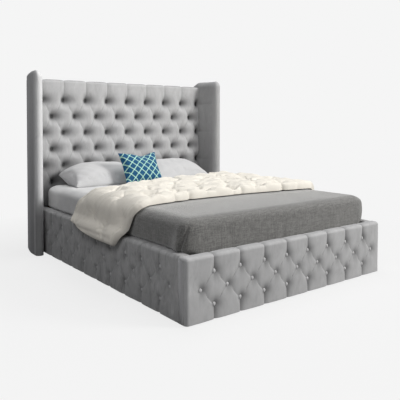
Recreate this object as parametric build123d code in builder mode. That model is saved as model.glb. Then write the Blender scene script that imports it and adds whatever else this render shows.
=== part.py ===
"""Wingback bed with a deep-buttoned headboard, buttoned rails and footboard, slats and bedding.

Millimetres, +Z up, +Y towards the headboard, +X to the right seen from the foot.
The origin is on the floor, under the middle of the bed's outer box.
"""
import math
import os

from build123d import *

os.makedirs("parts", exist_ok=True)

# Mattress, and the room left around it
mattress_width = 1500
mattress_length = 2000
mattress_height = 250
mattress_base = 285
mattress_corner = 70
mattress_edge = 25
side_room = 15
foot_room = 14
head_room = 4

# Outer panels
rail_thickness = 85
rail_height = 360
footboard_thickness = 72
headboard_beyond_mattress = 76
headboard_height = 1430
headboard_thickness = 110
wing_height = 1480
wing_thickness = 78
wing_depth = 326
wing_flare = 43
wing_roll = 33
wing_corner = 52
wing_ramp_start = 185
wing_ramp_end = 25
wing_seam = 20

# Fit
clearance = 0.3
overrun = 20
flat_enough = 0.001
glide_height = 6

# Timber and board inside the panels
rail_face_pad = 35
foot_face_pad = 30
lining = 6
top_pad = 30
post_width = 70
post_depth = 26
cross_rail_height = 70
middle_rail_base = 830
lower_rail_base = 290
panel_thickness = 7
back_cover = 2
wing_core_thickness = 30
wing_core_inset = 20
wing_batten_base = 380

# Edges of the upholstery
rail_edge = 25
foot_edge = 24
head_edge = 28
head_back_edge = 10
pad_base_room = 3

# Buttons and pleats
button_radius = 12.5
button_height = 8
button_sides = 8
seat_sides = 4
pleat_swell_share = 0.07
pleat_shoulder_share = 0.42
low_row_middle = 175
low_row_rise = 89.5
low_pleat_half = 36
low_pleat_depth = 13
low_seat_depth = 16
foot_end_room = 98
foot_columns = 8
rail_first_button = 92
rail_last_room = 245.4
rail_columns = 10
head_pitch_room = 2
head_columns = 8
head_row_count = 6
head_top_row = 174
head_low_row = 561
head_pleat_half = 62
head_pleat_depth = 34
head_seat_depth = 42
head_end_inset = 15

# Slatted base
slat_count = 13
slat_width = 63
slat_thickness = 8
slat_bow = 10
slat_run_share = (0, 0.16, 0.36, 0.64, 0.84, 1)
slat_rise_share = (0, 0.54, 1, 1, 0.54, 0)
slat_end_room = 70
slat_gap_half = 5
cap_length = 26
cap_wall = 3
cap_side_room = 1
ledger_width = 30
ledger_height = 35
beam_width = 44
beam_height = 60
hanger_plate = 2.5
hanger_reach = 40
hanger_flange = 20
leg_width = 45
leg_places_share = (0.18, 0.5, 0.82)

# Corner brackets
bracket_leg = 60
bracket_plate = 3
bracket_base = 95
bracket_height = 110

# Floor glides
glide_length = 60
glide_width = 24
glide_inset = 90
rail_glides_share = (-0.5, 0, 0.5)

# Bedding
sheet_thickness = 2
sheet_hem = 300
flat_sheet_end = 720
flat_sheet_hem = 315
blanket_thickness = 5
blanket_end = 180
blanket_hem = 330
blanket_fold_reach = 120
blanket_fold_thickness = 4
comforter_foot = -505
comforter_head_left = 300
comforter_head_dip = 165
comforter_head_right = 575
comforter_dip_inset = 110
comforter_puff = 52
comforter_pinch = 26
comforter_hem = 16
comforter_row = 215
comforter_rows = 6
comforter_left_low = 298
comforter_right_low = 430
comforter_right_out = 18
comforter_crest = 16
edge_tangent_share = 0.58
pillow_width = 735
pillow_depth = 425
pillow_height = 172
pillow_middle_gap = 12
pillow_back_room = 5
pillow_draw = 16
pillow_lift_share = (0, 0.26, 0.52, 0.78, 0.94, 1)
pillow_inset_share = (0.82, 1, 0.93, 0.76, 0.52, 0.2)
pillow_shift_share = (0, 0, 0.02, 0.06, 0.1, 0.12)
throw_width = 370
throw_height = 330
throw_thickness = 112
throw_seam = 6
throw_lean = 27
throw_centre_x = -105
throw_foot_y = 472
throw_draw = 13
throw_lift_share = (0, 0.5, 0.86, 1)
throw_inset_share = (1, 0.84, 0.56, 0.2)

# Places that follow from the sizes above
headboard_width = mattress_width + 2 * headboard_beyond_mattress
bed_width = mattress_width + 2 * side_room + 2 * rail_thickness
bed_length = footboard_thickness + foot_room + mattress_length + head_room + headboard_thickness
foot_face = -bed_length / 2
foot_back = foot_face + footboard_thickness
head_back = bed_length / 2
head_face = head_back - headboard_thickness
rail_outer = bed_width / 2
rail_inner = rail_outer - rail_thickness
cover_face = head_back - back_cover
post_face = cover_face - post_depth
panel_face = post_face - panel_thickness
timber_top = headboard_height - top_pad
rail_core_top = rail_height - top_pad
rail_core_outer = rail_outer - rail_face_pad
rail_core_inner = rail_inner + lining
mattress_foot = foot_back + foot_room
mattress_head = mattress_foot + mattress_length
mattress_middle = (mattress_foot + mattress_head) / 2
mattress_top = mattress_base + mattress_height
head_half = headboard_width / 2
wing_inner = head_half + clearance
wing_back = cover_face - clearance
wing_front = head_back - wing_depth
roll_x = wing_inner + wing_thickness + wing_flare - wing_roll
roll_y = wing_front + wing_roll
head_pitch = (headboard_width - 2 * head_pitch_room) / head_columns
foot_pitch = (bed_width - 2 * foot_end_room) / foot_columns
head_row_rise = (headboard_height - head_top_row - head_low_row) / (head_row_count - 1)
rail_front = foot_back + clearance
rail_button_run = panel_face - clearance - rail_front - rail_first_button - rail_last_room
rail_pitch = rail_button_run / (rail_columns - 1)
ledger_top = mattress_base - slat_bow - slat_thickness - cap_wall
ledger_base = ledger_top - ledger_height


def write(piece, label):
    """Label a finished piece and write its STEP file."""
    piece.part.label = label
    export_step(piece.part, f"parts/{label}.step")


def write_pair(left_piece, name):
    """Write a left piece and its mirror image on the right."""
    write(left_piece, f"left_{name}")
    with BuildPart() as right_piece:
        mirror(left_piece.part, about=Plane.YZ)
    write(right_piece, f"right_{name}")


def block(x_range, y_range, z_range):
    """Make one straight length of timber or board between three pairs of limits."""
    with BuildPart() as piece:
        with BuildSketch(Plane.XY.offset(z_range[0])):
            with Locations(((x_range[0] + x_range[1]) / 2, (y_range[0] + y_range[1]) / 2)):
                Rectangle(x_range[1] - x_range[0], y_range[1] - y_range[0])
        extrude(amount=z_range[1] - z_range[0])
    return piece


def faceted(rings):
    """Close a form over rings of as many points each, with flat facets between neighbours."""
    facets = [Face(Wire.make_polygon(rings[0])), Face(Wire.make_polygon(rings[-1]))]
    for lower, upper in zip(rings, rings[1:]):
        for place in range(len(lower)):
            after = (place + 1) % len(lower)
            a, b, c, d = lower[place], lower[after], upper[after], upper[place]
            across = (b - a).cross(d - a)
            if abs((c - a).dot(across)) < flat_enough * across.length:
                facets.append(Face(Wire.make_polygon([a, b, c, d])))
            else:
                facets.append(Face(Wire.make_polygon([a, b, c])))
                facets.append(Face(Wire.make_polygon([a, c, d])))
    with BuildPart() as form:
        add(Solid(Shell(facets)))
    return form


def slanting_runs(rows):
    """Find the ends of every slanting pleat, each run as long as its buttons line up."""
    runs = []
    for lean in (-1, 1):
        for row, (height, columns) in enumerate(rows):
            for column in columns:
                if row and column - lean in rows[row - 1][1]:
                    continue
                last = row
                while last + 1 < len(rows) and column + lean * (last + 1 - row) in rows[last + 1][1]:
                    last += 1
                if last > row:
                    runs.append(((column, height), (column + lean * (last - row), rows[last][0])))
    return runs


def cut_pleat(face, start, end, half_width, depth):
    """Cut one pleat in the padding, with flanks that steepen down to the stitched line."""
    first = face.from_local_coords((start[0], start[1], 0))
    run = face.from_local_coords((end[0], end[1], 0)) - first
    across = run.normalized().cross(face.z_dir)
    chord = (half_width**2 + depth**2) ** 0.5
    swell = pleat_swell_share * chord
    shoulder_x = half_width / 2 + swell * depth / chord
    shoulder_y = pleat_shoulder_share * (depth - 2 * swell * half_width / chord)
    with BuildSketch(Plane(origin=first, x_dir=across, z_dir=run)) as groove:
        with BuildLine():
            Polyline((half_width, 0), (half_width, -overrun), (-half_width, -overrun), (-half_width, 0))
            Polyline((-half_width, 0), (-shoulder_x, shoulder_y), (0, depth), (shoulder_x, shoulder_y),
                     (half_width, 0))
        make_face()
    extrude(groove.sketch, amount=run.length, mode=Mode.SUBTRACT)


def button_places(rows, half_pitch, reach):
    """List the middle of every button, with the outermost ones held inside the padding."""
    places = []
    for height, columns in rows:
        places += [(max(-reach, min(reach, column * half_pitch)), height) for column in columns]
    return places


def cut_tufting(face, rows, half_pitch, reach, pleat, seat_depth, borders):
    """Cut the pleats between the buttons, the pleats to both borders and the button seats."""
    half_width, depth = pleat
    for start, end in slanting_runs(rows):
        ends = [(column * half_pitch, height) for column, height in (start, end)]
        cut_pleat(face, ends[0], ends[1], half_width, depth)
    for (height, columns), border in ((rows[0], borders[1]), (rows[-1], borders[0])):
        for column in columns:
            if abs(column * half_pitch) < reach + half_width:
                place = column * half_pitch
                cut_pleat(face, (place, height), (place, border), half_width, depth)
    with BuildSketch(face.offset(-seat_depth)) as seats:
        with Locations(*button_places(rows, half_pitch, reach)):
            RegularPolygon(button_radius + clearance, seat_sides, major_radius=False)
    extrude(seats.sketch, amount=seat_depth + overrun, mode=Mode.SUBTRACT)


def make_buttons(face, rows, half_pitch, reach, seat_depth):
    """Make the covered buttons in their seats."""
    with BuildPart() as buttons:
        with BuildSketch(face.offset(clearance - seat_depth)):
            with Locations(*button_places(rows, half_pitch, reach)):
                RegularPolygon(button_radius, button_sides)
        extrude(amount=button_height)
    return buttons


# Rows of buttons as heights and whole half-pitches from the middle of the panel
foot_odd = list(range(1 - foot_columns, foot_columns, 2))
foot_even = list(range(-foot_columns, foot_columns + 1, 2))
foot_rows = [
    (low_row_middle + low_row_rise, foot_odd),
    (low_row_middle, foot_even),
    (low_row_middle - low_row_rise, foot_odd),
]
rail_even = list(range(0, 2 * rail_columns, 2))
rail_odd = list(range(1, 2 * rail_columns - 2, 2))
rail_rows = [
    (low_row_middle + low_row_rise, rail_odd),
    (low_row_middle, rail_even),
    (low_row_middle - low_row_rise, rail_odd),
]
head_rows = []
for row in range(head_row_count):
    edge_column = head_columns - row % 2
    height = headboard_height - head_top_row - row * head_row_rise
    head_rows.append((height, list(range(-edge_column, edge_column + 1, 2))))

# Timber frame of the headboard
for side, label in ((-1, "headboard_left_post"), (1, "headboard_right_post")):
    post_x = sorted((side * head_half, side * (head_half - post_width)))
    write(block(post_x, (post_face, cover_face), (glide_height, timber_top)), label)
rail_x = (post_width - head_half, head_half - post_width)
rail_bases = {
    "headboard_top_rail": timber_top - cross_rail_height,
    "headboard_middle_rail": middle_rail_base,
    "headboard_lower_rail": lower_rail_base,
}
for label, base in rail_bases.items():
    write(block(rail_x, (post_face, cover_face), (base, base + cross_rail_height)), label)
stile_x = (-post_width / 2, post_width / 2)
stile_heights = {
    "headboard_upper_stile": (middle_rail_base + cross_rail_height, timber_top - cross_rail_height),
    "headboard_lower_stile": (lower_rail_base + cross_rail_height, middle_rail_base),
}
for label, z_range in stile_heights.items():
    write(block(stile_x, (post_face, cover_face), z_range), label)
panel_x = (-head_half, head_half)
write(block(panel_x, (panel_face, post_face), (glide_height, timber_top)), "headboard_panel")
cover_x = (-wing_inner - wing_thickness, wing_inner + wing_thickness)
cover_z = (glide_height, headboard_height - head_back_edge)
write(block(cover_x, (cover_face, head_back), cover_z), "headboard_back_cover")

# Padding of the headboard, wrapped over the top of the frame, buttoned above the mattress
pad_base = rail_height + pad_base_room
head_plane = Plane(origin=(0, head_face, 0), x_dir=(1, 0, 0), z_dir=(0, -1, 0))
head_reach = head_half - head_end_inset
with BuildPart() as headboard_padding:
    with BuildSketch(Plane.YZ.offset(-head_half)) as head_section:
        with BuildLine():
            Polyline(
                (head_face, pad_base),
                (panel_face - clearance, pad_base),
                (panel_face - clearance, timber_top + clearance),
                (cover_face - clearance, timber_top + clearance),
                (cover_face - clearance, headboard_height),
                (head_face, headboard_height),
                close=True,
            )
        make_face()
        fillet(head_section.vertices().group_by(Axis.Y)[-1].sort_by(Axis.X)[0], head_edge)
        fillet(head_section.vertices().group_by(Axis.Y)[-1].sort_by(Axis.X)[-1], head_back_edge)
    extrude(amount=headboard_width)
    cut_tufting(head_plane, head_rows, head_pitch / 2, head_reach, (head_pleat_half, head_pleat_depth),
                head_seat_depth, (pad_base - overrun, headboard_height + overrun))
write(headboard_padding, "headboard_padding")
headboard_buttons = make_buttons(head_plane, head_rows, head_pitch / 2, head_reach, head_seat_depth)
write(headboard_buttons, "headboard_buttons")


def side_profile(inset):
    """Draw a wing from the side: a level front, a rounded corner and a ramp to the headboard."""
    top = wing_height - inset
    low = headboard_height - inset
    front = wing_front + inset
    corner = wing_corner - inset
    ramp_start = head_back - wing_ramp_start
    ramp_end = head_back - wing_ramp_end
    ramp_middle = ((ramp_start + ramp_end) / 2, (top + low) / 2)
    with BuildSketch(Plane.YZ) as profile:
        with BuildLine():
            Line((front, glide_height), (front, top - corner))
            TangentArc((front, top - corner), (front + corner, top), tangent=(0, 1))
            Line((front + corner, top), (ramp_start, top))
            TangentArc((ramp_start, top), ramp_middle, tangent=(1, 0))
            TangentArc((ramp_end, low), ramp_middle, tangent=(-1, 0))
            Polyline((ramp_end, low), (wing_back + overrun, low), (wing_back + overrun, glide_height),
                     (front, glide_height))
        make_face()
    return profile.sketch


def wing_plate(growth):
    """Make the board inside the right wing, or the pocket for it where growth is its room."""
    half = wing_core_thickness / 2 + growth
    back_middle = wing_inner + wing_thickness / 2
    with BuildPart() as plate:
        with BuildSketch(Plane.XY):
            Polygon((back_middle - half, wing_back), (roll_x - half, roll_y - growth),
                    (roll_x + half, roll_y - growth), (back_middle + half, wing_back), align=None)
        extrude(amount=wing_height)
        extrude(side_profile(wing_core_inset - growth), amount=2 * wing_inner, mode=Mode.INTERSECT)
    return plate


# Wings, made on the right and mirrored to the left
wing_core = wing_plate(0)
wing_pocket = wing_plate(clearance)
batten_x = (head_half, wing_inner + (wing_thickness - wing_core_thickness) / 2)
batten_z = (wing_batten_base, timber_top - cross_rail_height / 2)
batten_pocket = (2 * (batten_x[1] + clearance), post_depth + overrun)
wing_batten = block(batten_x, (post_face, wing_back), batten_z)
with BuildPart() as wing_padding:
    with BuildSketch(Plane.XY):
        with BuildLine():
            roll_inner = (roll_x - wing_roll, roll_y)
            roll_outer = (roll_x + wing_roll, roll_y)
            Polyline(roll_inner, (wing_inner, head_face + wing_seam), (wing_inner, wing_back),
                     (wing_inner + wing_thickness, wing_back), roll_outer)
            ThreePointArc(roll_outer, (roll_x, wing_front), roll_inner)
        make_face()
    extrude(amount=wing_height)
    extrude(side_profile(0), amount=2 * wing_inner, mode=Mode.INTERSECT)
    add(wing_pocket.part, mode=Mode.SUBTRACT)
    with BuildSketch(Plane.XY):
        with Locations((0, post_face - clearance)):
            Rectangle(*batten_pocket, align=(Align.CENTER, Align.MIN))
        with Locations((0, roll_y)):
            Rectangle(2 * (rail_outer + clearance), wing_depth, align=(Align.CENTER, Align.MIN))
    extrude(amount=pad_base, mode=Mode.SUBTRACT)
    with BuildSketch(Plane.XY.offset(wing_batten_base - clearance)):
        with Locations((0, post_face - clearance)):
            Rectangle(*batten_pocket, align=(Align.CENTER, Align.MIN))
    extrude(amount=batten_z[1] - batten_z[0] + 2 * clearance, mode=Mode.SUBTRACT)
for right_piece, name in ((wing_core, "core"), (wing_batten, "batten"), (wing_padding, "padding")):
    write(right_piece, f"right_wing_{name}")
    with BuildPart() as left_piece:
        mirror(right_piece.part, about=Plane.YZ)
    write(left_piece, f"left_wing_{name}")

# Side rails, made on the left and mirrored to the right
first_button = (-rail_outer, rail_front + rail_first_button, 0)
rail_plane = Plane(origin=first_button, x_dir=(0, -1, 0), z_dir=(-1, 0, 0))
mirrored_rows = [(height, [-column for column in reversed(columns)]) for height, columns in rail_rows]
rail_reach = bed_length
low_core_z = (glide_height, rail_core_top)
rail_core = block((-rail_core_outer, -rail_core_inner), (foot_back, panel_face), low_core_z)
with BuildPart() as rail_padding:
    with BuildSketch(Plane.XZ.offset(clearance - panel_face)) as rail_section:
        with Locations((-(rail_outer + rail_inner) / 2, (glide_height + rail_height) / 2)):
            Rectangle(rail_thickness, rail_height - glide_height)
        fillet(rail_section.vertices().group_by(Axis.Y)[-1], rail_edge)
        with Locations((-(rail_core_outer + rail_core_inner) / 2, glide_height)):
            Rectangle(rail_core_outer - rail_core_inner + 2 * clearance,
                      2 * (rail_core_top - glide_height + clearance), mode=Mode.SUBTRACT)
    extrude(amount=panel_face - clearance - rail_front)
    cut_tufting(rail_plane, mirrored_rows, rail_pitch / 2, rail_reach, (low_pleat_half, low_pleat_depth),
                low_seat_depth, (-overrun, rail_height + overrun))
write_pair(rail_core, "rail_core")
write_pair(rail_padding, "rail_padding")
rail_buttons = make_buttons(rail_plane, mirrored_rows, rail_pitch / 2, rail_reach, low_seat_depth)
write_pair(rail_buttons, "rail_buttons")

# Footboard
foot_plane = Plane(origin=(0, foot_face, 0), x_dir=(1, 0, 0), z_dir=(0, -1, 0))
foot_core_half = rail_outer - foot_face_pad
foot_core_y = (foot_face + foot_face_pad, foot_back - lining)
write(block((-foot_core_half, foot_core_half), foot_core_y, low_core_z), "footboard_core")
with BuildPart() as footboard_padding:
    with BuildSketch(Plane.XY.offset(glide_height)) as foot_plan:
        with Locations((0, (foot_face + foot_back) / 2)):
            Rectangle(bed_width, footboard_thickness)
        fillet(foot_plan.vertices().group_by(Axis.Y)[0], foot_edge)
    extrude(amount=rail_height - glide_height)
    fillet(footboard_padding.faces().sort_by(Axis.Z)[-1].edges(), foot_edge - clearance)
    with BuildSketch(Plane.XY.offset(glide_height)):
        with Locations((0, (foot_core_y[0] + foot_core_y[1]) / 2)):
            Rectangle(2 * (foot_core_half + clearance), foot_core_y[1] - foot_core_y[0] + 2 * clearance)
    extrude(amount=rail_core_top - glide_height + clearance, mode=Mode.SUBTRACT)
    cut_tufting(foot_plane, foot_rows, foot_pitch / 2, bed_width, (low_pleat_half, low_pleat_depth),
                low_seat_depth, (-overrun, rail_height + overrun))
write(footboard_padding, "footboard_padding")
footboard_buttons = make_buttons(foot_plane, foot_rows, foot_pitch / 2, bed_width, low_seat_depth)
write(footboard_buttons, "footboard_buttons")

# Ledgers along the rails, centre beam, its hangers and legs
ledger_y = (foot_back + clearance, panel_face - clearance)
ledger_x = (clearance - rail_inner, clearance - rail_inner + ledger_width)
write_pair(block(ledger_x, ledger_y, (ledger_base, ledger_top)), "ledger")
beam_y = (foot_back + clearance + hanger_plate, panel_face - hanger_plate)
beam_base = ledger_top - beam_height
write(block((-beam_width / 2, beam_width / 2), beam_y, (beam_base, ledger_top)), "centre_beam")
with BuildPart() as beam_hangers:
    for end_y, way in ((foot_back + clearance, 1), (panel_face, -1)):
        with BuildSketch(Plane.XZ.offset(-end_y)):
            with Locations((0, beam_base - hanger_plate)):
                Rectangle(beam_width + 2 * hanger_plate + 2 * hanger_flange, beam_height + hanger_plate,
                          align=(Align.CENTER, Align.MIN))
        extrude(amount=-way * hanger_plate)
        with BuildSketch(Plane.XZ.offset(-end_y - way * hanger_plate)):
            with Locations((0, beam_base - hanger_plate)):
                Rectangle(beam_width + 2 * hanger_plate, beam_height + hanger_plate,
                          align=(Align.CENTER, Align.MIN))
            with Locations((0, beam_base)):
                Rectangle(beam_width, beam_height + overrun, align=(Align.CENTER, Align.MIN),
                          mode=Mode.SUBTRACT)
        extrude(amount=-way * hanger_reach)
write(beam_hangers, "beam_hangers")
leg_names = ("front", "middle", "rear")
leg_middles = [beam_y[0] + share * (beam_y[1] - beam_y[0]) for share in leg_places_share]
for name, middle in zip(leg_names, leg_middles):
    leg_y = (middle - leg_width / 2, middle + leg_width / 2)
    write(block((-leg_width / 2, leg_width / 2), leg_y, (glide_height, beam_base)), f"centre_leg_{name}")

# Sprung slats in two rows, in caps on the ledgers and on the beam
slat_pitch = (mattress_length - 2 * slat_end_room) / (slat_count - 1)
slat_rows = [mattress_foot + slat_end_room + slat_pitch * number for number in range(slat_count)]
slat_low = ledger_top + cap_wall
slat_out = rail_inner - clearance - 2 * cap_wall
slat_length = slat_out - slat_gap_half
with BuildPart() as slats:
    for row_y in slat_rows:
        with BuildSketch(Plane.XZ.offset(-row_y - slat_width / 2)):
            under = [(run * slat_length - slat_out, slat_low + rise * slat_bow)
                     for run, rise in zip(slat_run_share, slat_rise_share)]
            over = [(x, z + slat_thickness) for x, z in reversed(under)]
            Polygon(*under, *over, align=None)
        extrude(amount=slat_width)
write_pair(slats, "slats")


def slat_caps(middle_x, length):
    """Make a row of plastic caps that hold the slats' ends, open towards the slats."""
    outer_width = slat_width + 2 * (cap_wall + cap_side_room)
    outer_height = slat_thickness + 3 * cap_wall
    slot_height = outer_height - 2 * cap_wall
    with BuildPart() as caps:
        with BuildSketch(Plane.XY.offset(ledger_top)):
            with Locations(*[(middle_x, row_y) for row_y in slat_rows]):
                Rectangle(length, outer_width)
        extrude(amount=outer_height)
        with BuildSketch(Plane.XY.offset(slat_low)):
            with Locations(*[(middle_x, row_y) for row_y in slat_rows]):
                Rectangle(length + overrun, slat_width + 2 * cap_side_room)
        extrude(amount=slot_height, mode=Mode.SUBTRACT)
    return caps


write_pair(slat_caps(-rail_inner + clearance + cap_length / 2, cap_length), "slat_caps")
write(slat_caps(0, beam_width), "centre_slat_caps")

# Steel corner brackets, screwed to the cores
foot_corner = (rail_inner - clearance, foot_back + clearance, 1)
head_corner = (rail_inner - clearance, panel_face, -1)
with BuildPart() as corner_brackets:
    with BuildSketch(Plane.XY.offset(bracket_base)):
        for side in (-1, 1):
            for corner_x, corner_y, way in (foot_corner, head_corner):
                far_x = corner_x - bracket_leg
                far_y = corner_y + way * bracket_leg
                near_x = corner_x - bracket_plate
                near_y = corner_y + way * bracket_plate
                Polygon((side * corner_x, corner_y), (side * far_x, corner_y), (side * far_x, near_y),
                        (side * near_x, near_y), (side * near_x, far_y), (side * corner_x, far_y), align=None)
    extrude(amount=bracket_height)
write(corner_brackets, "corner_brackets")

# Floor glides under the cores, the posts, the wings and the legs
glide_places = [(side * (foot_core_half - glide_inset), sum(foot_core_y) / 2) for side in (-1, 0, 1)]
rail_middle = (rail_core_outer + rail_core_inner) / 2
wing_middle = wing_inner + (wing_thickness + wing_flare) / 2
glide_turned = [(0, middle) for middle in leg_middles]
for side in (-1, 1):
    glide_turned.append((side * wing_middle, (roll_y + wing_back) / 2))
    glide_turned += [(side * rail_middle, share * panel_face) for share in rail_glides_share]
glide_places += [(side * (head_half - post_width / 2), (post_face + cover_face) / 2) for side in (-1, 1)]
with BuildPart() as floor_glides:
    with BuildSketch(Plane.XY):
        with Locations(*glide_places):
            Rectangle(glide_length, glide_width)
        with Locations(*glide_turned):
            Rectangle(glide_width, leg_width)
    extrude(amount=glide_height)
write(floor_glides, "floor_glides")

# Mattress
with BuildPart() as mattress:
    with BuildSketch(Plane.XY.offset(mattress_base)):
        with Locations((0, mattress_middle)):
            RectangleRounded(mattress_width, mattress_length, mattress_corner)
    extrude(amount=mattress_height)
    chamfer(mattress.faces().sort_by(Axis.Z)[-1].edges(), mattress_edge)
write(mattress, "mattress")


def covered_block(growth, hem, rounded):
    """Make the mattress's shape grown all round, from a hem's height up."""
    with BuildPart() as cover:
        with BuildSketch(Plane.XY.offset(hem)):
            with Locations((0, mattress_middle)):
                RectangleRounded(mattress_width + 2 * growth, mattress_length + 2 * growth,
                                 mattress_corner + growth)
        extrude(amount=mattress_top + growth - hem)
        top_edges = cover.faces().sort_by(Axis.Z)[-1].edges()
        if rounded:
            fillet(top_edges, mattress_edge + growth)
        else:
            chamfer(top_edges, mattress_edge + growth)
    return cover


def laid_sheet(inner_growth, thickness, hem, end, rounded=False):
    """Make one layer of bedding over the mattress, from the foot to its end."""
    outer = covered_block(inner_growth + thickness, hem, rounded)
    inner = covered_block(inner_growth, hem, False)
    with BuildPart() as layer:
        add(outer.part)
        add(inner.part, mode=Mode.SUBTRACT)
        with BuildSketch(Plane.XY.offset(hem)):
            with Locations((0, end)):
                Rectangle(2 * mattress_width, 2 * mattress_length, align=(Align.CENTER, Align.MIN))
        extrude(amount=2 * mattress_height, mode=Mode.SUBTRACT)
    return layer


fitted_growth = clearance
flat_growth = fitted_growth + sheet_thickness + clearance
blanket_growth = flat_growth + sheet_thickness + clearance
blanket_out = blanket_growth + blanket_thickness
fitted_end = mattress_head + sheet_thickness + overrun
write(laid_sheet(fitted_growth, sheet_thickness, sheet_hem, fitted_end), "fitted_sheet")
write(laid_sheet(flat_growth, sheet_thickness, flat_sheet_hem, flat_sheet_end), "flat_sheet")
blanket = laid_sheet(blanket_growth, blanket_thickness, blanket_hem, blanket_end, True)
with BuildPart() as folded_blanket:
    add(blanket.part)
    fold_y = mattress_foot + mattress_corner
    fold_top = mattress_top - mattress_edge
    fold_low = rail_height + pad_base_room
    for side in (-1, 1):
        with BuildSketch(Plane.YZ.offset(side * (mattress_width / 2 + blanket_out - overrun / 10))):
            Polygon((fold_y, fold_top), (fold_y + blanket_fold_reach, fold_low), (fold_y, fold_low),
                    align=None)
        extrude(amount=side * (blanket_fold_thickness + overrun / 10))
write(folded_blanket, "blanket")

# Comforter thrown across the bed, falling over the left rail
lay_z = mattress_top + blanket_out + clearance
side_x = mattress_width / 2 + blanket_out + blanket_fold_thickness + clearance
rest_z = rail_height + clearance
out_x = rail_outer + clearance
edge_cut = rail_edge * edge_tangent_share


def comforter_outline(loft):
    """List the corners of the comforter cut across the bed, with its filling as thick as loft."""
    return [
        (side_x, comforter_right_low),
        (side_x, lay_z - mattress_edge),
        (side_x - mattress_edge, lay_z),
        (mattress_edge - side_x, lay_z),
        (-side_x, lay_z - mattress_edge),
        (-side_x, rest_z + comforter_crest),
        (-side_x - comforter_crest, rest_z),
        (edge_cut - out_x, rest_z),
        (-out_x, rest_z - edge_cut),
        (-out_x, comforter_left_low),
        (-out_x - loft, comforter_left_low + comforter_crest),
        (-out_x - loft, rest_z + loft / 2),
        (-out_x - loft / 2 + rail_edge, rest_z + loft),
        (-side_x - loft, rest_z + loft + comforter_crest),
        (-side_x - loft, lay_z),
        (-side_x - loft / 3 + mattress_edge, lay_z + loft),
        (side_x - mattress_edge, lay_z + loft),
        (side_x + loft, lay_z - mattress_edge / 2),
        (side_x + loft, comforter_right_low + comforter_right_out),
    ]


comforter_lofts = [comforter_hem] + comforter_rows * [comforter_puff, comforter_pinch]
comforter_rings = [
    [Vector(x, comforter_foot + row * comforter_row / 2, z) for x, z in comforter_outline(loft_height)]
    for row, loft_height in enumerate(comforter_lofts)
]
with BuildPart() as comforter:
    add(faceted(comforter_rings).part)
    with BuildSketch(Plane.XY):
        Polygon((-mattress_width, comforter_head_left), (-rail_outer, comforter_head_left),
                (comforter_dip_inset - mattress_width / 2, comforter_head_dip),
                (rail_outer, comforter_head_right), (mattress_width, comforter_head_right),
                (mattress_width, 2 * mattress_length), (-mattress_width, 2 * mattress_length),
                align=None)
    extrude(amount=headboard_height, mode=Mode.SUBTRACT)
write(comforter, "comforter")

# Pillows against the headboard and a throw cushion leaning in front of them
pillow_lie = mattress_top + flat_growth + sheet_thickness + clearance


def filled_cover(middle, size, draw, levels):
    """Make a cushion on a plane, its seam drawn in between the corners, crowned in levels."""
    half_x, half_y = size[0] / 2, size[1] / 2
    seam = [(half_x, half_y), (0, half_y - draw), (-half_x, half_y), (draw - half_x, 0),
            (-half_x, -half_y), (0, draw - half_y), (half_x, -half_y), (half_x - draw, 0)]
    return faceted([[middle.from_local_coords((share * x, share * y + shift, height)) for x, y in seam]
                    for height, share, shift in levels])


pillow_levels = [(lift * pillow_height, share, shift * pillow_depth)
                 for lift, share, shift in zip(pillow_lift_share, pillow_inset_share, pillow_shift_share)]
pillow_y = head_face - pillow_back_room - pillow_depth / 2
for side, label in ((-1, "left_pillow"), (1, "right_pillow")):
    pillow_x = side * (pillow_middle_gap + pillow_width / 2)
    pillow_plane = Plane(origin=(pillow_x, pillow_y, pillow_lie), z_dir=(0, 0, 1))
    write(filled_cover(pillow_plane, (pillow_width, pillow_depth), pillow_draw, pillow_levels), label)

throw_foot_rise = throw_seam / 2 * math.tan(math.radians(throw_lean))
lean_plane = Plane(origin=(throw_centre_x, throw_foot_y, pillow_lie), x_dir=(1, 0, 0),
                   z_dir=(0, -1, 0)).rotated((-throw_lean, 0, 0))
throw_middle = lean_plane.from_local_coords((0, throw_foot_rise + throw_height / 2, 0))
throw_plane = Plane(origin=throw_middle, x_dir=lean_plane.x_dir, z_dir=lean_plane.z_dir)
throw_upper = [(throw_seam / 2 + lift * (throw_thickness - throw_seam) / 2, share)
               for lift, share in zip(throw_lift_share, throw_inset_share)]
throw_levels = [(-height, share, 0) for height, share in reversed(throw_upper)]
throw_levels += [(height, share, 0) for height, share in throw_upper]
write(filled_cover(throw_plane, (throw_width, throw_height), throw_draw, throw_levels), "throw_cushion")
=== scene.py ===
"""Wingback bed dressed for its picture: buttoned velvet, made-up bedding, timber base and a plain studio.

Metres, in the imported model's frame: +Z up, +Y towards the headboard, +X to the right seen from the foot.
"""
import logging
import math
from collections.abc import Callable, Iterator
from dataclasses import dataclass
from enum import Enum

import bpy
import numpy as np
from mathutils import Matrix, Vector


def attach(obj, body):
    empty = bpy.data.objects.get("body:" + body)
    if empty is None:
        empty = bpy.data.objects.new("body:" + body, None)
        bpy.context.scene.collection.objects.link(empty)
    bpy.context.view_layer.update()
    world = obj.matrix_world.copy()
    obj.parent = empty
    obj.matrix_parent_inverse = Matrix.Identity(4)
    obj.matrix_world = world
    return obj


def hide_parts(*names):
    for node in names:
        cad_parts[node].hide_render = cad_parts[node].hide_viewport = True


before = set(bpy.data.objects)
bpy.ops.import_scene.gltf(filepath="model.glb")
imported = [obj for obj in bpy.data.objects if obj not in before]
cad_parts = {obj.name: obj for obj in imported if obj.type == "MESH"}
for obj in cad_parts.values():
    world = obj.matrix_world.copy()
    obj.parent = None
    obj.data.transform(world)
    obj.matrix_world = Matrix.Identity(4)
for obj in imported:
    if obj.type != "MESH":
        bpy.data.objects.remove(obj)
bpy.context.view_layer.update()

log = logging.getLogger("wingback_bed")
QUARTER = math.pi / 2
Point2 = tuple[float, float]
Colour = tuple[float, float, float]
Line = tuple[Point2, ...]
Array = np.ndarray
Piece = bpy.types.Object
Socket = bpy.types.NodeSocket


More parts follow.
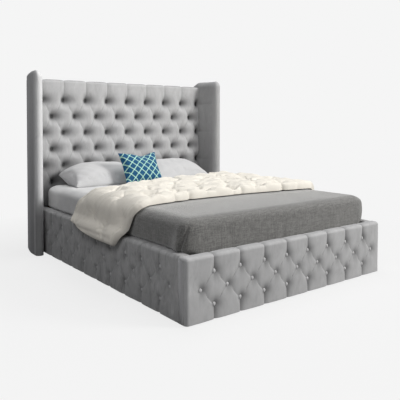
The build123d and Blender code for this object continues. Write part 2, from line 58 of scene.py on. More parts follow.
class Side(Enum):
    """The two sides of the bed, by the sign of X."""

    LEFT = -1
    RIGHT = 1


class Weave(Enum):
    """How the threads of a cloth lie."""

    PLAIN = "plain"
    SLUB = "slub"


# Materials


class Nodes:
    """A node tree with a Principled shader, filled a step at a time."""

    def __init__(self, name: str) -> None:
        """Start a material of that name."""
        self.material = bpy.data.materials.new(name)
        self.material.use_nodes = True
        self.tree = self.material.node_tree
        self.shader = self.tree.nodes["Principled BSDF"]
        self.coords = self.tree.nodes.new("ShaderNodeTexCoord")

    def feed(self, socket: Socket, value: object) -> None:
        """Give a socket its value, or join it to the output that drives it."""
        if isinstance(value, Socket):
            self.tree.links.new(value, socket)
        else:
            socket.default_value = (*value, 1) if socket.type == "RGBA" else value

    def add(self, kind: str, inputs: dict, **settings: object) -> bpy.types.Node:
        """Add a node.

        Args:
            kind: the node's type.
            inputs: for each input by name or number, its value or the output that drives it.
            settings: the node's own settings.

        Returns:
            The node.
        """
        node = self.tree.nodes.new(kind)
        for key, value in settings.items():
            setattr(node, key, value)
        for key, value in inputs.items():
            self.feed(node.inputs[key], value)
        return node

    def place(self, scale: Colour = (1, 1, 1), turn: Colour = (0, 0, 0)) -> Socket:
        """Give coordinates on the piece, scaled along each axis and turned by degrees."""
        angles = [math.radians(value) for value in turn]
        return self.add("ShaderNodeMapping", {"Vector": self.coords.outputs["Object"], "Scale": scale,
                                              "Rotation": angles}).outputs["Vector"]

    def noise(self, vector: object, scale: float, detail: float = 3.0, rough: float = 0.5,
              distortion: float = 0.0) -> Socket:
        """Add a noise texture and give its value output."""
        return self.add("ShaderNodeTexNoise", {"Vector": vector, "Scale": scale, "Detail": detail,
                                               "Roughness": rough, "Distortion": distortion}).outputs["Fac"]

    def wave(self, vector: object, axis: str, scale: float, distortion: float = 0.6) -> Socket:
        """Add bands of thread along one axis and give their value output."""
        return self.add("ShaderNodeTexWave", {"Vector": vector, "Scale": scale, "Distortion": distortion,
                                              "Detail": 1.5, "Detail Scale": 0.6},
                        bands_direction=axis).outputs["Fac"]

    def math(self, operation: str, *values: object) -> Socket:
        """Combine values, each an output or a number, by pairs from the left."""
        result = values[0]
        for value in values[1:]:
            result = self.add("ShaderNodeMath", {0: result, 1: value}, operation=operation).outputs[0]
        return result

    def ramp(self, value: object, *stops: tuple[float, Colour]) -> Socket:
        """Turn a value into a colour by stops of place and colour."""
        node = self.add("ShaderNodeValToRGB", {"Fac": value})
        elements = node.color_ramp.elements
        while len(elements) < len(stops):
            elements.new(0.5)
        for element, (place, colour) in zip(elements, stops):
            element.position = place
            element.color = (*colour, 1)
        return node.outputs["Color"]

    def mix(self, share: object, first: object, second: object, blend: str = "MIX") -> Socket:
        """Mix two colours by a share, each an output or a value."""
        return self.add("ShaderNodeMix", {0: share, 6: first, 7: second},
                        data_type="RGBA", blend_type=blend).outputs[2]

    def bump(self, height: object, distance: float, strength: float = 1.0,
             **below: object) -> Socket:
        """Add a bump of a real height in metres, over a Normal below it if one is given."""
        return self.add("ShaderNodeBump", {"Height": height, "Distance": distance, "Strength": strength,
                                           **below}).outputs["Normal"]

    def finish(self, colour: object, normal: object, rough: float, **sockets: object) -> bpy.types.Material:
        """Join colour and normal to the shader and set its plain values.

        Args:
            colour: the colour output.
            normal: the normal output.
            rough: the roughness.
            sockets: values for other sockets, their spaces written as underscores.

        Returns:
            The material.
        """
        for key, value in {"Base_Color": colour, "Normal": normal, "Roughness": rough, **sockets}.items():
            self.feed(self.shader.inputs[key.replace("_", " ")], value)
        return self.material


def shade(colour: Colour, factor: float) -> Colour:
    """Make a colour lighter or darker by a factor."""
    return tuple(min(1.0, channel * factor) for channel in colour)


@dataclass(frozen=True)
class Velvet:
    """Brushed pile that lies in patches, with painted shade from a point attribute mixed into its colour, and
    a soft sheen.
    """

    name: str
    colour: Colour
    mottle: float = 0.16
    patch: float = 11.0

    def make(self) -> bpy.types.Material:
        """Build the material."""
        nodes = Nodes(self.name)
        mottle_and_painted_shade = nodes.noise(nodes.place((1.0, 1.0, 0.55)), self.patch, 5, 0.62, 1.4)
        streaks = nodes.noise(nodes.place((3.2, 3.2, 0.8), (0, 24, 0)), 26, 4, 0.6, 0.5)
        pile = nodes.noise(nodes.place(), 1500, 2, 0.6)
        patches, lines = nodes.math("MULTIPLY", mottle_and_painted_shade, 0.68), nodes.math("MULTIPLY", streaks, 0.32)
        stops = ((0.30, -2.0), (0.47, -0.5), (0.58, 0.0), (0.74, 1.5))
        tones = [(place, shade(self.colour, 1 + part * self.mottle)) for place, part in stops]
        colour = nodes.ramp(nodes.math("ADD", patches, lines), *tones)
        # Painted shade: a point attribute darkens the colour towards near black where shade falls, in pits,
        # along pleats and on shaded faces.
        painted_shade_share = nodes.add("ShaderNodeAttribute", {}, attribute_name="painted_shade").outputs["Fac"]
        colour = nodes.mix(painted_shade_share, colour, shade(self.colour, 0.04))
        normal = nodes.bump(pile, 0.0006, 0.55, Normal=nodes.bump(mottle_and_painted_shade, 0.0016, 0.5))
        return nodes.finish(colour, normal, 0.62, Sheen_Weight=0.5, Sheen_Roughness=0.4,
                            Specular_IOR_Level=0.2, Sheen_Tint=(0.9, 0.9, 0.93))


@dataclass(frozen=True)
class Cloth:
    """Woven cloth with its threads, slubs and soft colour changes."""

    name: str
    colour: Colour
    thread: float
    fleck: float
    weave: Weave = Weave.PLAIN
    rough: float = 0.85
    sheen: float = 0.1

    def make(self) -> bpy.types.Material:
        """Build the material."""
        nodes = Nodes(self.name)
        place = nodes.place()
        waves = (nodes.wave(place, axis, 1 / (self.thread * math.pi)) for axis in "XYZ")
        threads = nodes.math("MAXIMUM", *waves)
        fine, slub_height = (48, 0.0012) if self.weave is Weave.SLUB else (160, 0.0004)
        stretches = ((6, fine, fine), (fine, 6, fine), (fine, fine, 6))
        slubs = (nodes.noise(nodes.place(stretch), 3.2, 4, 0.62) for stretch in stretches)
        slub = nodes.math("MULTIPLY", nodes.math("ADD", *slubs), 0.3333)
        colour = nodes.ramp(slub, (0.43, shade(self.colour, 1 - self.fleck)), (0.5, self.colour),
                            (0.57, shade(self.colour, 1 + self.fleck)))
        tone = nodes.ramp(nodes.noise(place, 5, 4, 0.6), (0.3, (0.92, 0.92, 0.92)), (0.7, (1, 1, 1)))
        colour = nodes.mix(1.0, colour, tone, "MULTIPLY")
        normal = nodes.bump(slub, slub_height, 0.6, Normal=nodes.bump(threads, self.thread * 0.3, 0.4))
        return nodes.finish(colour, normal, self.rough, Sheen_Weight=self.sheen, Sheen_Roughness=0.5,
                            Specular_IOR_Level=0.25)


@dataclass(frozen=True)
class Trellis:
    """Deep blue cushion cloth woven with a common diagonal trellis, laid out by the point attribute plan."""

    name: str
    ground: Colour
    line: Colour
    pitch: float = 0.068
    line_half: float = 0.082
    knot_half: float = 0.10

    def make(self) -> bpy.types.Material:
        """Build the material on the cushion's own flat coordinates."""
        nodes = Nodes(self.name)
        plan = nodes.add("ShaderNodeAttribute", {}, attribute_name="plan").outputs["Vector"]
        x, y, _ = nodes.add("ShaderNodeSeparateXYZ", {0: plan}).outputs
        bands = [nodes.math("PINGPONG", nodes.math("DIVIDE", nodes.math(way, x, y), self.pitch), 0.5)
                 for way in ("ADD", "SUBTRACT")]
        edge = nodes.math("LESS_THAN", nodes.math("MINIMUM", *bands), self.line_half)
        knot = nodes.math("LESS_THAN", nodes.math("MAXIMUM", *bands), self.knot_half)
        weave = nodes.noise(nodes.place(), 420, 3, 0.6)
        ground = nodes.ramp(weave, (0.3, shade(self.ground, 0.6)), (0.7, shade(self.ground, 1.5)))
        colour = nodes.mix(knot, nodes.mix(edge, ground, self.line), shade(self.line, 1.3))
        threads = nodes.wave(nodes.place(), "DIAGONAL", 260)
        normal = nodes.bump(threads, 0.0005, 0.4, Normal=nodes.bump(edge, 0.0005, 0.5))
        return nodes.finish(colour, normal, 0.8, Sheen_Weight=0.1, Specular_IOR_Level=0.25)


@dataclass(frozen=True)
class Timber:
    """Planed wood with grain along one axis, in layers where it is a board."""

    name: str
    colour: Colour
    grain: Colour = (14.0, 14.0, 0.9)
    layers: float = 0.0

    def make(self) -> bpy.types.Material:
        """Build the material."""
        nodes = Nodes(self.name)
        rings = nodes.noise(nodes.place(self.grain), 3.2, 6, 0.62, 1.1)
        pores = nodes.noise(nodes.place(tuple(12 * value for value in self.grain)), 6, 2, 0.6)
        colour = nodes.ramp(rings, (0.3, shade(self.colour, 0.66)), (0.52, self.colour),
                            (0.72, shade(self.colour, 1.18)))
        if self.layers:
            plies = nodes.wave(nodes.place(), "X", self.layers, 0.2)
            colour = nodes.mix(0.25, colour, nodes.ramp(plies, (0.4, shade(self.colour, 0.6)),
                                                        (0.6, self.colour)))
        return nodes.finish(colour, nodes.bump(pores, 0.0004, 0.4), 0.6, Specular_IOR_Level=0.3)


@dataclass(frozen=True)
class Moulded:
    """Moulded plastic, felt or coated steel with a fine grain and worn tone."""

    name: str
    colour: Colour
    rough: float
    grain: float = 500.0
    metal: float = 0.0

    def make(self) -> bpy.types.Material:
        """Build the material."""
        nodes = Nodes(self.name)
        speck = nodes.noise(nodes.place(), self.grain, 3, 0.6)
        wear = nodes.noise(nodes.place(), 18, 5, 0.65)
        colour = nodes.ramp(wear, (0.35, shade(self.colour, 0.75)), (0.6, self.colour),
                            (0.8, shade(self.colour, 1.35)))
        return nodes.finish(colour, nodes.bump(speck, 0.0002, 0.4), self.rough, Metallic=self.metal)


VELVET = Velvet("velvet_grey", (0.51, 0.51, 0.515), 0.10)
# Lit and shaded copies of the one grey velvet: the wings' copy is painted lighter, the footboard's and rails'
# darker, as painted light and shade.
VELVET_WING_PAINTED_LIGHT = Velvet("velvet_grey_wing", (0.72, 0.72, 0.725), 0.08)
VELVET_FOOT_PAINTED_SHADE = Velvet("velvet_grey_foot", (0.47, 0.47, 0.475), 0.10)
VELVET_RAIL_PAINTED_SHADE = Velvet("velvet_grey_rail", (0.43, 0.43, 0.43), 0.25, 13.0)
BUTTON_VELVET = Velvet("velvet_grey_button", (0.54, 0.54, 0.545), 0.08, 40.0)
# The headboard's buttons are the same grey velvet, painted near black as painted shade for their deep pits.
BUTTON_VELVET_PAINTED_SHADE = Velvet("velvet_grey_sunk_button", (0.10, 0.10, 0.102), 0.08, 40.0)
LINEN = Cloth("blanket_linen", (0.150, 0.148, 0.141), 0.0022, 0.34, Weave.SLUB, 0.85, 0.8)
WHITE_COTTON = Cloth("white_cotton", (0.69, 0.69, 0.69), 0.0008, 0.03)
# The same white cotton as the sheets, painted darker on the pillows as painted shade.
PILLOW_COTTON_PAINTED_SHADE = Cloth("pillow_cotton", (0.57, 0.57, 0.575), 0.0008, 0.03)
CREAM_COTTON = Cloth("cream_sateen", (0.84, 0.80, 0.72), 0.0008, 0.03, Weave.PLAIN, 0.6, 0.2)
TICKING = Cloth("mattress_ticking", (0.78, 0.78, 0.76), 0.0016, 0.06, Weave.SLUB)
BACK_CLOTH = Cloth("back_cloth", (0.05, 0.05, 0.055), 0.0012, 0.15, Weave.SLUB)
TRELLIS = Trellis("blue_trellis", (0.008, 0.082, 0.19), (0.37, 0.62, 0.52))
PINE = Timber("frame_pine", (0.62, 0.43, 0.24))
PINE_ALONG_X = Timber("frame_pine_across", (0.62, 0.43, 0.24), (0.9, 14.0, 14.0))
PINE_ALONG_Y = Timber("frame_pine_along", (0.62, 0.43, 0.24), (14.0, 0.9, 14.0))
BOARD = Timber("panel_board", (0.50, 0.36, 0.22), (5.0, 1.4, 3.0), 70.0)
BEECH = Timber("slat_beech", (0.66, 0.46, 0.28), (0.9, 18.0, 18.0))
CAP_PLASTIC = Moulded("slat_cap_plastic", (0.03, 0.03, 0.032), 0.5)
STEEL = Moulded("bracket_steel", (0.06, 0.06, 0.065), 0.42, 260.0, 0.6)
FELT = Moulded("glide_felt", (0.07, 0.06, 0.055), 0.95, 900.0)


# Shapes of numbers


def unit(values: object) -> Array:
    """Hold values between 0 and 1."""
    return np.clip(values, 0, 1)


def between(values: Array, start: float, end: float) -> Array:
    """Give the share of the way from one place to another, 0 before it and 1 beyond."""
    return unit((values - start) / (end - start))


def eased(share: Array) -> Array:
    """Ease a share in and out."""
    return share * share * (3 - 2 * share)


def arched(share: Array) -> Array:
    """Rise from 0 to 1 as a quarter of a circle does."""
    return np.sqrt(unit(1 - (1 - share) ** 2))


def hill(away: Array, width: object, power: float = 2.0) -> Array:
    """Fall from 1 on the spot towards 0 beyond a width."""
    return np.exp(-((np.abs(away) / width) ** power))


def together(first: Array, second: Array) -> Array:
    """Lay one share of darkness over another."""
    return 1 - (1 - first) * (1 - second)


def lattice(low: float, high: float, step: float) -> Array:
    """List the multiples of a step that lie well inside a span."""
    return step * np.arange(math.ceil(low / step + 0.3), math.floor(high / step - 0.3) + 1)


def wobble(points: Array, size: float, seed: float, stretch: Colour = (1, 1, 1)) -> Array:
    """Give a soft, repeatable waviness between about -1 and 1 at each point.

    Args:
        points: places, one row each.
        size: the length of the waves in metres.
        seed: a number that changes the pattern.
        stretch: a factor on the places for each axis, low where the waves run long.

    Returns:
        One value for each point.
    """
    total = np.zeros(len(points))
    for turn in range(1, 6):
        way = np.array([math.sin(seed + 2.1 * turn), math.cos(1.7 * seed + 3.3 * turn), math.sin(2.9 * turn)])
        total += np.sin(points * np.array(stretch) @ way * (2 * math.pi / size) * (0.6 + 0.23 * turn)
                        + seed * turn)
    return total / 3.0


def ripple(u: Array, v: Array, size: float, seed: float, stretch: Point2 = (1, 1)) -> Array:
    """Give the same waviness over a grid of places, in the grid's shape."""
    flat = np.stack([u.ravel(), v.ravel(), 0 * u.ravel()], axis=1)
    return wobble(flat, size, seed, (*stretch, 1)).reshape(u.shape)


# Meshes


def take(piece: Piece | None = None) -> None:
    """Make a piece the only selected and active one, or leave nothing selected."""
    if bpy.context.object and bpy.context.object.mode != "OBJECT":
        bpy.ops.object.mode_set(mode="OBJECT")
    bpy.ops.object.select_all(action="DESELECT")
    if piece:
        piece.select_set(True)
        bpy.context.view_layer.objects.active = piece


def link(name: str, data: bpy.types.ID) -> Piece:
    """Put data into the scene as an object."""
    holder = bpy.data.objects.new(name, data)
    bpy.context.scene.collection.objects.link(holder)
    return holder


def edit(piece: Piece, *steps: tuple[Callable, dict]) -> Piece:
    """Take steps on every point of a piece in edit mode.

    Args:
        piece: the piece.
        steps: each mesh operator with its settings.

    Returns:
        The same piece.
    """
    take(piece)
    bpy.ops.object.mode_set(mode="EDIT")
    bpy.ops.mesh.select_all(action="SELECT")
    for step, settings in steps:
        step(**settings)
    bpy.ops.object.mode_set(mode="OBJECT")
    return piece


def points_of(piece: Piece) -> Array:
    """Read a piece's points."""
    return np.array([vertex.co for vertex in piece.data.vertices])


def place_points(piece: Piece, points: Array) -> None:
    """Put a piece's points in new places."""
    piece.data.vertices.foreach_set("co", points.astype(np.float32).ravel())
    piece.data.update()


def push_out(piece: Piece, offset: Array) -> None:
    """Move a piece's points along their normals."""
    normals = np.array([vertex.normal for vertex in piece.data.vertices])
    place_points(piece, points_of(piece) + normals * offset[:, None])


def turn_out(piece: Piece) -> Piece:
    """Merge doubles, turn every face outwards and shade the piece smooth."""
    edit(piece, (bpy.ops.mesh.remove_doubles, {"threshold": 1e-5}),
         (bpy.ops.mesh.normals_make_consistent, {"inside": False}))
    bpy.ops.object.shade_smooth()
    return piece


def settle(piece: Piece, move: Callable[[Array], Array]) -> Piece:
    """Move a piece's points by a function of their places, then turn its faces outwards."""
    place_points(piece, move(points_of(piece)))
    return turn_out(piece)


def join(name: str, points: Array, faces: list) -> Piece:
    """Make a piece from points and faces."""
    mesh = bpy.data.meshes.new(name)
    mesh.from_pydata(points.tolist(), [], faces)
    return turn_out(link(name, mesh))


def knit(name: str, rows: Array, caps: bool = True, lean: Array | None = None) -> Piece:
    """Join rings of as many points each into one piece.

    Args:
        name: the piece's name.
        rows: points as rings, places in a ring, and x, y, z.
        caps: whether the first and last rings are filled.
        lean: for each cell, which way its diagonal runs where it is split in two, or -1 for whole.

    Returns:
        The new piece.
    """
    count, length = rows.shape[:2]
    first = length * np.arange(count - 1)[:, None]
    place = np.arange(length)[None, :]
    after = (place + 1) % length
    corners = np.stack([first + place, first + length + place, first + length + after, first + after],
                       axis=-1).reshape(-1, 4)
    if lean is None:
        faces = corners.tolist()
    else:
        way = lean.reshape(-1)
        forward, backward = corners[way == 1], corners[way == 0]
        faces = corners[way < 0].tolist()
        faces += forward[:, [0, 1, 2]].tolist() + forward[:, [0, 2, 3]].tolist()
        faces += backward[:, [0, 1, 3]].tolist() + backward[:, [1, 2, 3]].tolist()
    if caps:
        faces.append(list(range(length))[::-1])
        faces.append(list(range((count - 1) * length, count * length)))
    return join(name, rows.reshape(-1, 3), faces)


def cut_beyond(piece: Piece, place: float) -> None:
    """Cut a cover off beyond a place along the bed."""
    plane = {"plane_co": (0, place, 0.4), "plane_no": (0, 1, 0), "clear_outer": True}
    edit(piece, (bpy.ops.mesh.bisect, plane))


def thicken(piece: Piece, thickness: float) -> None:
    """Give a cover its thickness, outwards."""
    take(piece)
    solid = piece.modifiers.new("thickness", "SOLIDIFY")
    solid.thickness, solid.offset = thickness, 1.0
    bpy.ops.object.modifier_apply(modifier=solid.name)
    bpy.ops.object.shade_smooth()


def paint_shade(piece: Piece, dark: Array) -> None:
    """Paint more shade into the pile's colour, kept as a point attribute."""
    painted_shade = piece.data.attributes.get("painted_shade") or piece.data.attributes.new("painted_shade", "FLOAT", "POINT")
    before = np.zeros(len(dark), np.float32)
    painted_shade.data.foreach_get("value", before)
    painted_shade.data.foreach_set("value", together(before, dark).astype(np.float32))


def dress(piece: Piece, material: bpy.types.Material, slot: str, *nodes: str) -> None:
    """Give a piece its material and its body, and hide the nodes it stands for."""
    piece.data.materials.clear()
    piece.data.materials.append(material)
    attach(piece, "root")
    if nodes:
        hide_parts(*nodes)
    log.info("piece %s, %d faces", piece.name, len(piece.data.polygons))


# Tufting


@dataclass(frozen=True)
class Draw:
    """How far buttons and pleats draw a cover in, and how wide each form is."""

    pit: float
    pit_reach: float
    pleat: float
    middle: float
    flank: float
    lip: float
    valley: float
    valley_reach: float
    border: float
    bow: float = 0.035
    run_out: float = 0.06
    lap: Point2 = (0.68, 1.55)


@dataclass(frozen=True)
class PaintedShade:
    """How much shade is painted into the pile round a button, on the flank to its right and along the pleats.
    """

    core: float
    core_dark: float
    flank: Point2
    flank_dark: float
    line: float
    line_dark: float
    fall: float
    fall_dark: float


@dataclass(frozen=True)
class Tufting:
    """Buttons in staggered rows, with pleats between them and to both borders.

    Heights are measured along the padding's face from the floor, places from the middle column. Every pleat
    laps over to the right: its left lip is steep and its right flank rises slowly.
    """

    rows: tuple[tuple[float, tuple[int, ...]], ...]
    half_pitch: float
    hold: float
    borders: Point2
    draw: Draw
    painted_shade: PaintedShade

    @property
    def top_row(self) -> float:
        """Give the top row's height."""
        return self.rows[0][0]

    @property
    def rise(self) -> float:
        """Give the height from one row to the next."""
        return self.rows[0][0] - self.rows[1][0]

    def place(self, column: int) -> float:
        """Give a column's place, with the outermost held inside the cover."""
        return max(-self.hold, min(self.hold, column * self.half_pitch))

    def buttons(self) -> Array:
        """List the buttons' places on the face."""
        return np.array([(self.place(column), height) for height, columns in self.rows for column in columns])

    def pleats(self) -> list[tuple[Point2, Point2, bool]]:
        """List each pleat as its two ends and whether it runs out to a border."""
        found = []
        for (height, columns), (under, below) in zip(self.rows, self.rows[1:]):
            for column in columns:
                found += [((self.place(column), height), (self.place(column + lean), under), False)
                          for lean in (-1, 1) if column + lean in below]
        for (height, columns), border in ((self.rows[0], self.borders[1]), (self.rows[-1], self.borders[0])):
            found += [((place, height), (place, border), True) for place in map(self.place, columns)]
        return found

    def beside_pleats(self, across: Array, up: Array) -> Iterator[tuple]:
        """Go through the pleats and see how the places on the face lie beside each.

        Args:
            across: places along the panel.
            up: heights along the face.

        Yields:
            Whether the pleat runs to a border, its length, the share of the way along it, how far to its
            right each place lies and how far away.
        """
        for start, end, to_border in self.pleats():
            run = (end[0] - start[0], end[1] - start[1])
            length = math.hypot(*run)
            share = unit(((across - start[0]) * run[0] + (up - start[1]) * run[1]) / length**2)
            bow = 0.0 if to_border else self.draw.bow * length * math.copysign(1, run[0])
            side = across - start[0] - share * run[0] - bow * np.sin(2 * math.pi * share)
            yield to_border, length, share, side, np.hypot(side, up - start[1] - share * run[1])

    def depth_at(self, across: Array, up: Array) -> Array:
        """Work out how far the cover is drawn in at each place on the face.

        Args:
            across: places along the panel.
            up: heights along the face.

        Returns:
            Depths in metres, 0 where the padding is full.
        """
        draw = self.draw
        total = np.zeros_like(across)
        for to_border, length, share, side, away in self.beside_pleats(across, up):
            if to_border:
                strength = draw.border + (1 - draw.border) * hill(share * length, draw.run_out, 1)
            else:
                strength = draw.middle + (1 - draw.middle) * np.abs(2 * share - 1) ** 2
            slope = draw.pleat * hill(away, np.where(side > 1e-6, draw.flank, draw.lip), 1)
            total += (strength * (slope + draw.valley * unit(1 - away / draw.valley_reach) ** 2)) ** 3
        for place, height in self.buttons():
            side = (across - place) * np.where(across > place, *draw.lap)
            total += (draw.pit * hill(np.hypot(side, up - height), draw.pit_reach, 1.35)) ** 3
        return np.cbrt(total)

    def painted_shade_at(self, across: Array, up: Array) -> Array:
        """Work out how much shade is painted into the pile's colour at each place on the face.

        Args:
            across: places along the panel.
            up: heights along the face.

        Returns:
            Shares of painted shade, from 0 where none is painted to 1 where the pile is painted black.
        """
        painted_shade = self.painted_shade
        pits, lines = np.zeros_like(across), np.zeros_like(across)
        for place, height in self.buttons():
            side, rise = across - place, up - height
            core = painted_shade.core_dark * hill(np.hypot(side, rise), painted_shade.core, 3)
            width = np.where(side > 0, painted_shade.flank[0], 0.8 * painted_shade.core)
            flank = painted_shade.flank_dark * hill(side, width) * hill(rise, painted_shade.flank[1])
            pits = np.maximum(pits, np.maximum(core, flank))
        for to_border, _, share, side, away in self.beside_pleats(across, up):
            inside = side > -0.001
            lines = np.maximum(lines, painted_shade.line_dark * hill(away, painted_shade.line) * np.where(inside, 1.0, 0.25))
            if to_border:
                fall = painted_shade.fall_dark * hill(away, painted_shade.fall, 1) * (0.45 + 0.55 * (1 - share))
                lines = np.maximum(lines, fall * inside)
        return together(pits, lines)


@dataclass
class TuftedPanel:
    """One padded panel, its cover swept along it as closed rings and drawn in by the tufting.

    The face is given by its foot, its head and the panel's back edge, and tucked is the way back to the foot.
    Columns beyond pocket_end have no pocket for the board.
    """

    name: str
    tufting: Tufting
    span: Point2
    face: Line
    tucked: Line
    radius: float
    end_round: float = 0.0
    seed: float = 1.0
    pocket_end: float = 9.0
    fine: int = 20
    ease: float = 0.05
    uneven: float = 0.0012
    wave: float = 0.21

    def columns(self) -> Array:
        """Choose the places along the panel, so that pleats lie on mesh edges."""
        start, end = self.span
        inner = lattice(start, end, self.tufting.half_pitch / self.fine)
        inner = inner[(inner > start + self.end_round) & (inner < end - self.end_round)]
        extra = np.zeros(1)
        if self.end_round:
            extra = self.end_round * (1 - np.sin(np.linspace(0, QUARTER, 8)))
        return np.unique(np.round(np.concatenate([start + extra, inner, end - extra]), 7))

    def profile(self) -> tuple[Array, Array, Array]:
        """Follow the section from the face's foot, over the top and round the core.

        Returns:
            The section's points as out and up, their outward normals, and the distance along the face.
        """
        (out, foot), (_, head), (back, _) = self.face
        top_row, radius = self.tufting.top_row, self.radius
        shoulder = head - radius
        steps = lattice(foot - top_row, shoulder - top_row, self.tufting.rise / self.fine)
        heights = np.concatenate([[foot], top_row + steps, [shoulder]])
        turn = np.linspace(0, QUARTER, 9)[1:]
        level = np.linspace(0, abs(back - out) - 2 * radius, 7)[1:]
        sign = 1 if back > out else -1
        near, far = out + sign * radius, back - sign * radius
        over = np.stack([-sign * np.cos(turn), np.sin(turn)])
        under = np.stack([sign * np.sin(turn), np.cos(turn)])
        normals = np.array([(-sign, 0.0)] * len(heights) + over.T.tolist() + [(0.0, 1.0)] * len(level)
                           + under.T.tolist())
        ahead = np.column_stack([np.full(len(heights), out), heights])
        above = np.column_stack([near + sign * level, np.full(len(level), head)])
        points = np.concatenate([ahead, (near, shoulder) + radius * over.T, above,
                                 (far, shoulder) + radius * under.T])
        curve = radius * turn
        run = np.concatenate([heights, shoulder + curve, shoulder + curve[-1] + level,
                              shoulder + curve[-1] + level[-1] + curve])
        return points, normals, run

    def build(self) -> Piece:
        """Knit the panel along X, with the section in Y and Z."""
        points, normals, run = self.profile()
        columns = self.columns()
        across, up = np.meshgrid(columns, run, indexing="ij")
        fade = unit((run[-1] - run) / self.ease)
        uneven = self.uneven * (1 + ripple(across, up, self.wave, self.seed))
        drawn = (self.tufting.depth_at(across, up) + uneven) * fade
        if self.end_round:
            inside = np.minimum(columns - self.span[0], self.span[1] - columns)
            corner = np.clip(self.end_round - inside, 0, self.end_round)
            back_off = self.end_round - np.sqrt(np.maximum(self.end_round**2 - corner**2, 0))
            forward = math.copysign(1, self.face[0][0] - self.face[2][0]) * normals[:, 0]
            drawn += back_off[:, None] * unit(normals[:, 1] * 0.75 + forward) * fade
        rows = np.zeros((len(columns), len(run) + len(self.tucked), 3))
        rows[:, :, 0] = columns[:, None]
        rows[:, :len(run), 1:] = points - normals * drawn[:, :, None]
        for place, (out, height) in enumerate(self.tucked, len(run)):
            rows[:, place, 1] = out
            rows[:, place, 2] = np.where(np.abs(columns) < self.pocket_end, height, self.face[0][1])
        tufting = self.tufting
        middle = (columns[:-1] + columns[1:])[:, None] / 2 / tufting.half_pitch
        below = (tufting.top_row - (run[:-1] + run[1:]) / 2) / tufting.rise
        cell = np.floor(middle) + np.floor(below) + tufting.rows[0][1][0] % 2
        lean = -np.ones((len(columns) - 1, rows.shape[1]), int)
        lean[:, :len(run) - 1] = cell % 2
        piece = knit(self.name, rows, lean=lean)
        x, y, z = points_of(piece).T
        front = np.abs(y - self.face[0][0]) < 0.6 * abs(self.face[2][0] - self.face[0][0])
        # Paint shade into the pile round the buttons and along the pleats on the face.
        paint_shade(piece, tufting.painted_shade_at(x, z) * front)
        return piece


@dataclass(frozen=True)
class Button:
    """A covered button: its radius, how far its dome stands out and how far it sits before its pit."""

    radius: float
    dome: float
    proud: float

    def cover(self, name: str, tufting: Tufting, face: float) -> Piece:
        """Set a button, facing -Y, into every pit of a panel.

        Args:
            name: the piece's name.
            tufting: the panel's tufting.
            face: where the panel's face lies.

        Returns:
            All the buttons as one piece.
        """
        take()
        bpy.ops.mesh.primitive_uv_sphere_add(segments=14, ring_count=8, radius=self.radius,
                                             rotation=(QUARTER, 0, 0))
        ball = bpy.context.object
        bpy.ops.object.transform_apply(location=True, rotation=True, scale=True)
        points = points_of(ball) * (1, self.dome / self.radius, 1)
        faces = [list(face.vertices) for face in ball.data.polygons]
        bpy.data.objects.remove(ball)
        across, up = tufting.buttons().T
        places = np.stack([across, face + tufting.depth_at(across, up) - self.proud, up], axis=1)
        joined = [[corner + number * len(points) for corner in corners]
                  for number in range(len(places)) for corners in faces]
        return join(name, np.concatenate([points + place for place in places]), joined)


# Sub-assemblies


@dataclass
class Headboard:
    """Deep-buttoned padding and its covered buttons."""

    face_y: float = 0.990
    panel_y: float = 1.0647
    back_y: float = 1.0977
    foot_z: float = 0.363
    timber_z: float = 1.4003
    top_z: float = 1.430
    half_width: float = 0.826
    edge_round: float = 0.024
    first_row: float = 1.256
    row_count: int = 6
    edge_column: int = 8
    rise: float = 0.139
    half_pitch: float = 0.103
    outermost: float = 0.811
    borders: Point2 = (0.2, 1.62)
    button: Button = Button(radius=0.0135, dome=0.0075, proud=0.0035)
    draw: Draw = Draw(pit=0.055, pit_reach=0.037, pleat=0.0125, middle=0.34, flank=0.026, lip=0.0060,
                      valley=0.012, valley_reach=0.052, border=0.22)
    painted_shade: PaintedShade = PaintedShade(core=0.0285, core_dark=0.95, flank=(0.084, 0.041), flank_dark=0.66, line=0.0040,
                   line_dark=0.30, fall=0.030, fall_dark=0.16)

    def tufting(self) -> Tufting:
        """Lay out the rows of buttons."""
        rows = []
        for row in range(self.row_count):
            edge = self.edge_column - row % 2
            rows.append((self.first_row - row * self.rise, tuple(range(-edge, edge + 1, 2))))
        return Tufting(tuple(rows), self.half_pitch, self.outermost, self.borders, self.draw, self.painted_shade)

    @staticmethod
    def mottle_and_painted_shade(points: Array) -> Array:
        """Work out the shade painted into the pile behind the pillows, along the top edge and towards the
        right.
        """
        x, _, z = points.T
        low = np.maximum(0.58 * between(z, 0.80, 0.60), 0.35 * between(z, 1.412, 1.426))
        return together(low, 0.10 * between(x, 0.0, 0.8))

    def build(self) -> None:
        """Make the padding and the buttons."""
        tufting = self.tufting()
        piece = TuftedPanel(
            "headboard_velvet", tufting, (-self.half_width, self.half_width),
            ((self.face_y, self.foot_z), (self.face_y, self.top_z), (self.back_y, self.top_z)),
            ((self.back_y, self.timber_z), (self.panel_y, self.timber_z), (self.panel_y, self.foot_z)),
            self.edge_round, seed=2.3).build()
        # Paint shade into the pile behind the pillows, along the top edge and towards the right.
        paint_shade(piece, self.mottle_and_painted_shade(points_of(piece)))
        dress(piece, VELVET.make(), "velvet", "headboard_padding")
        buttons = self.button.cover("headboard_button_covers", tufting, self.face_y)
        dress(buttons, BUTTON_VELVET_PAINTED_SHADE.make(), "button_velvet", "headboard_buttons")


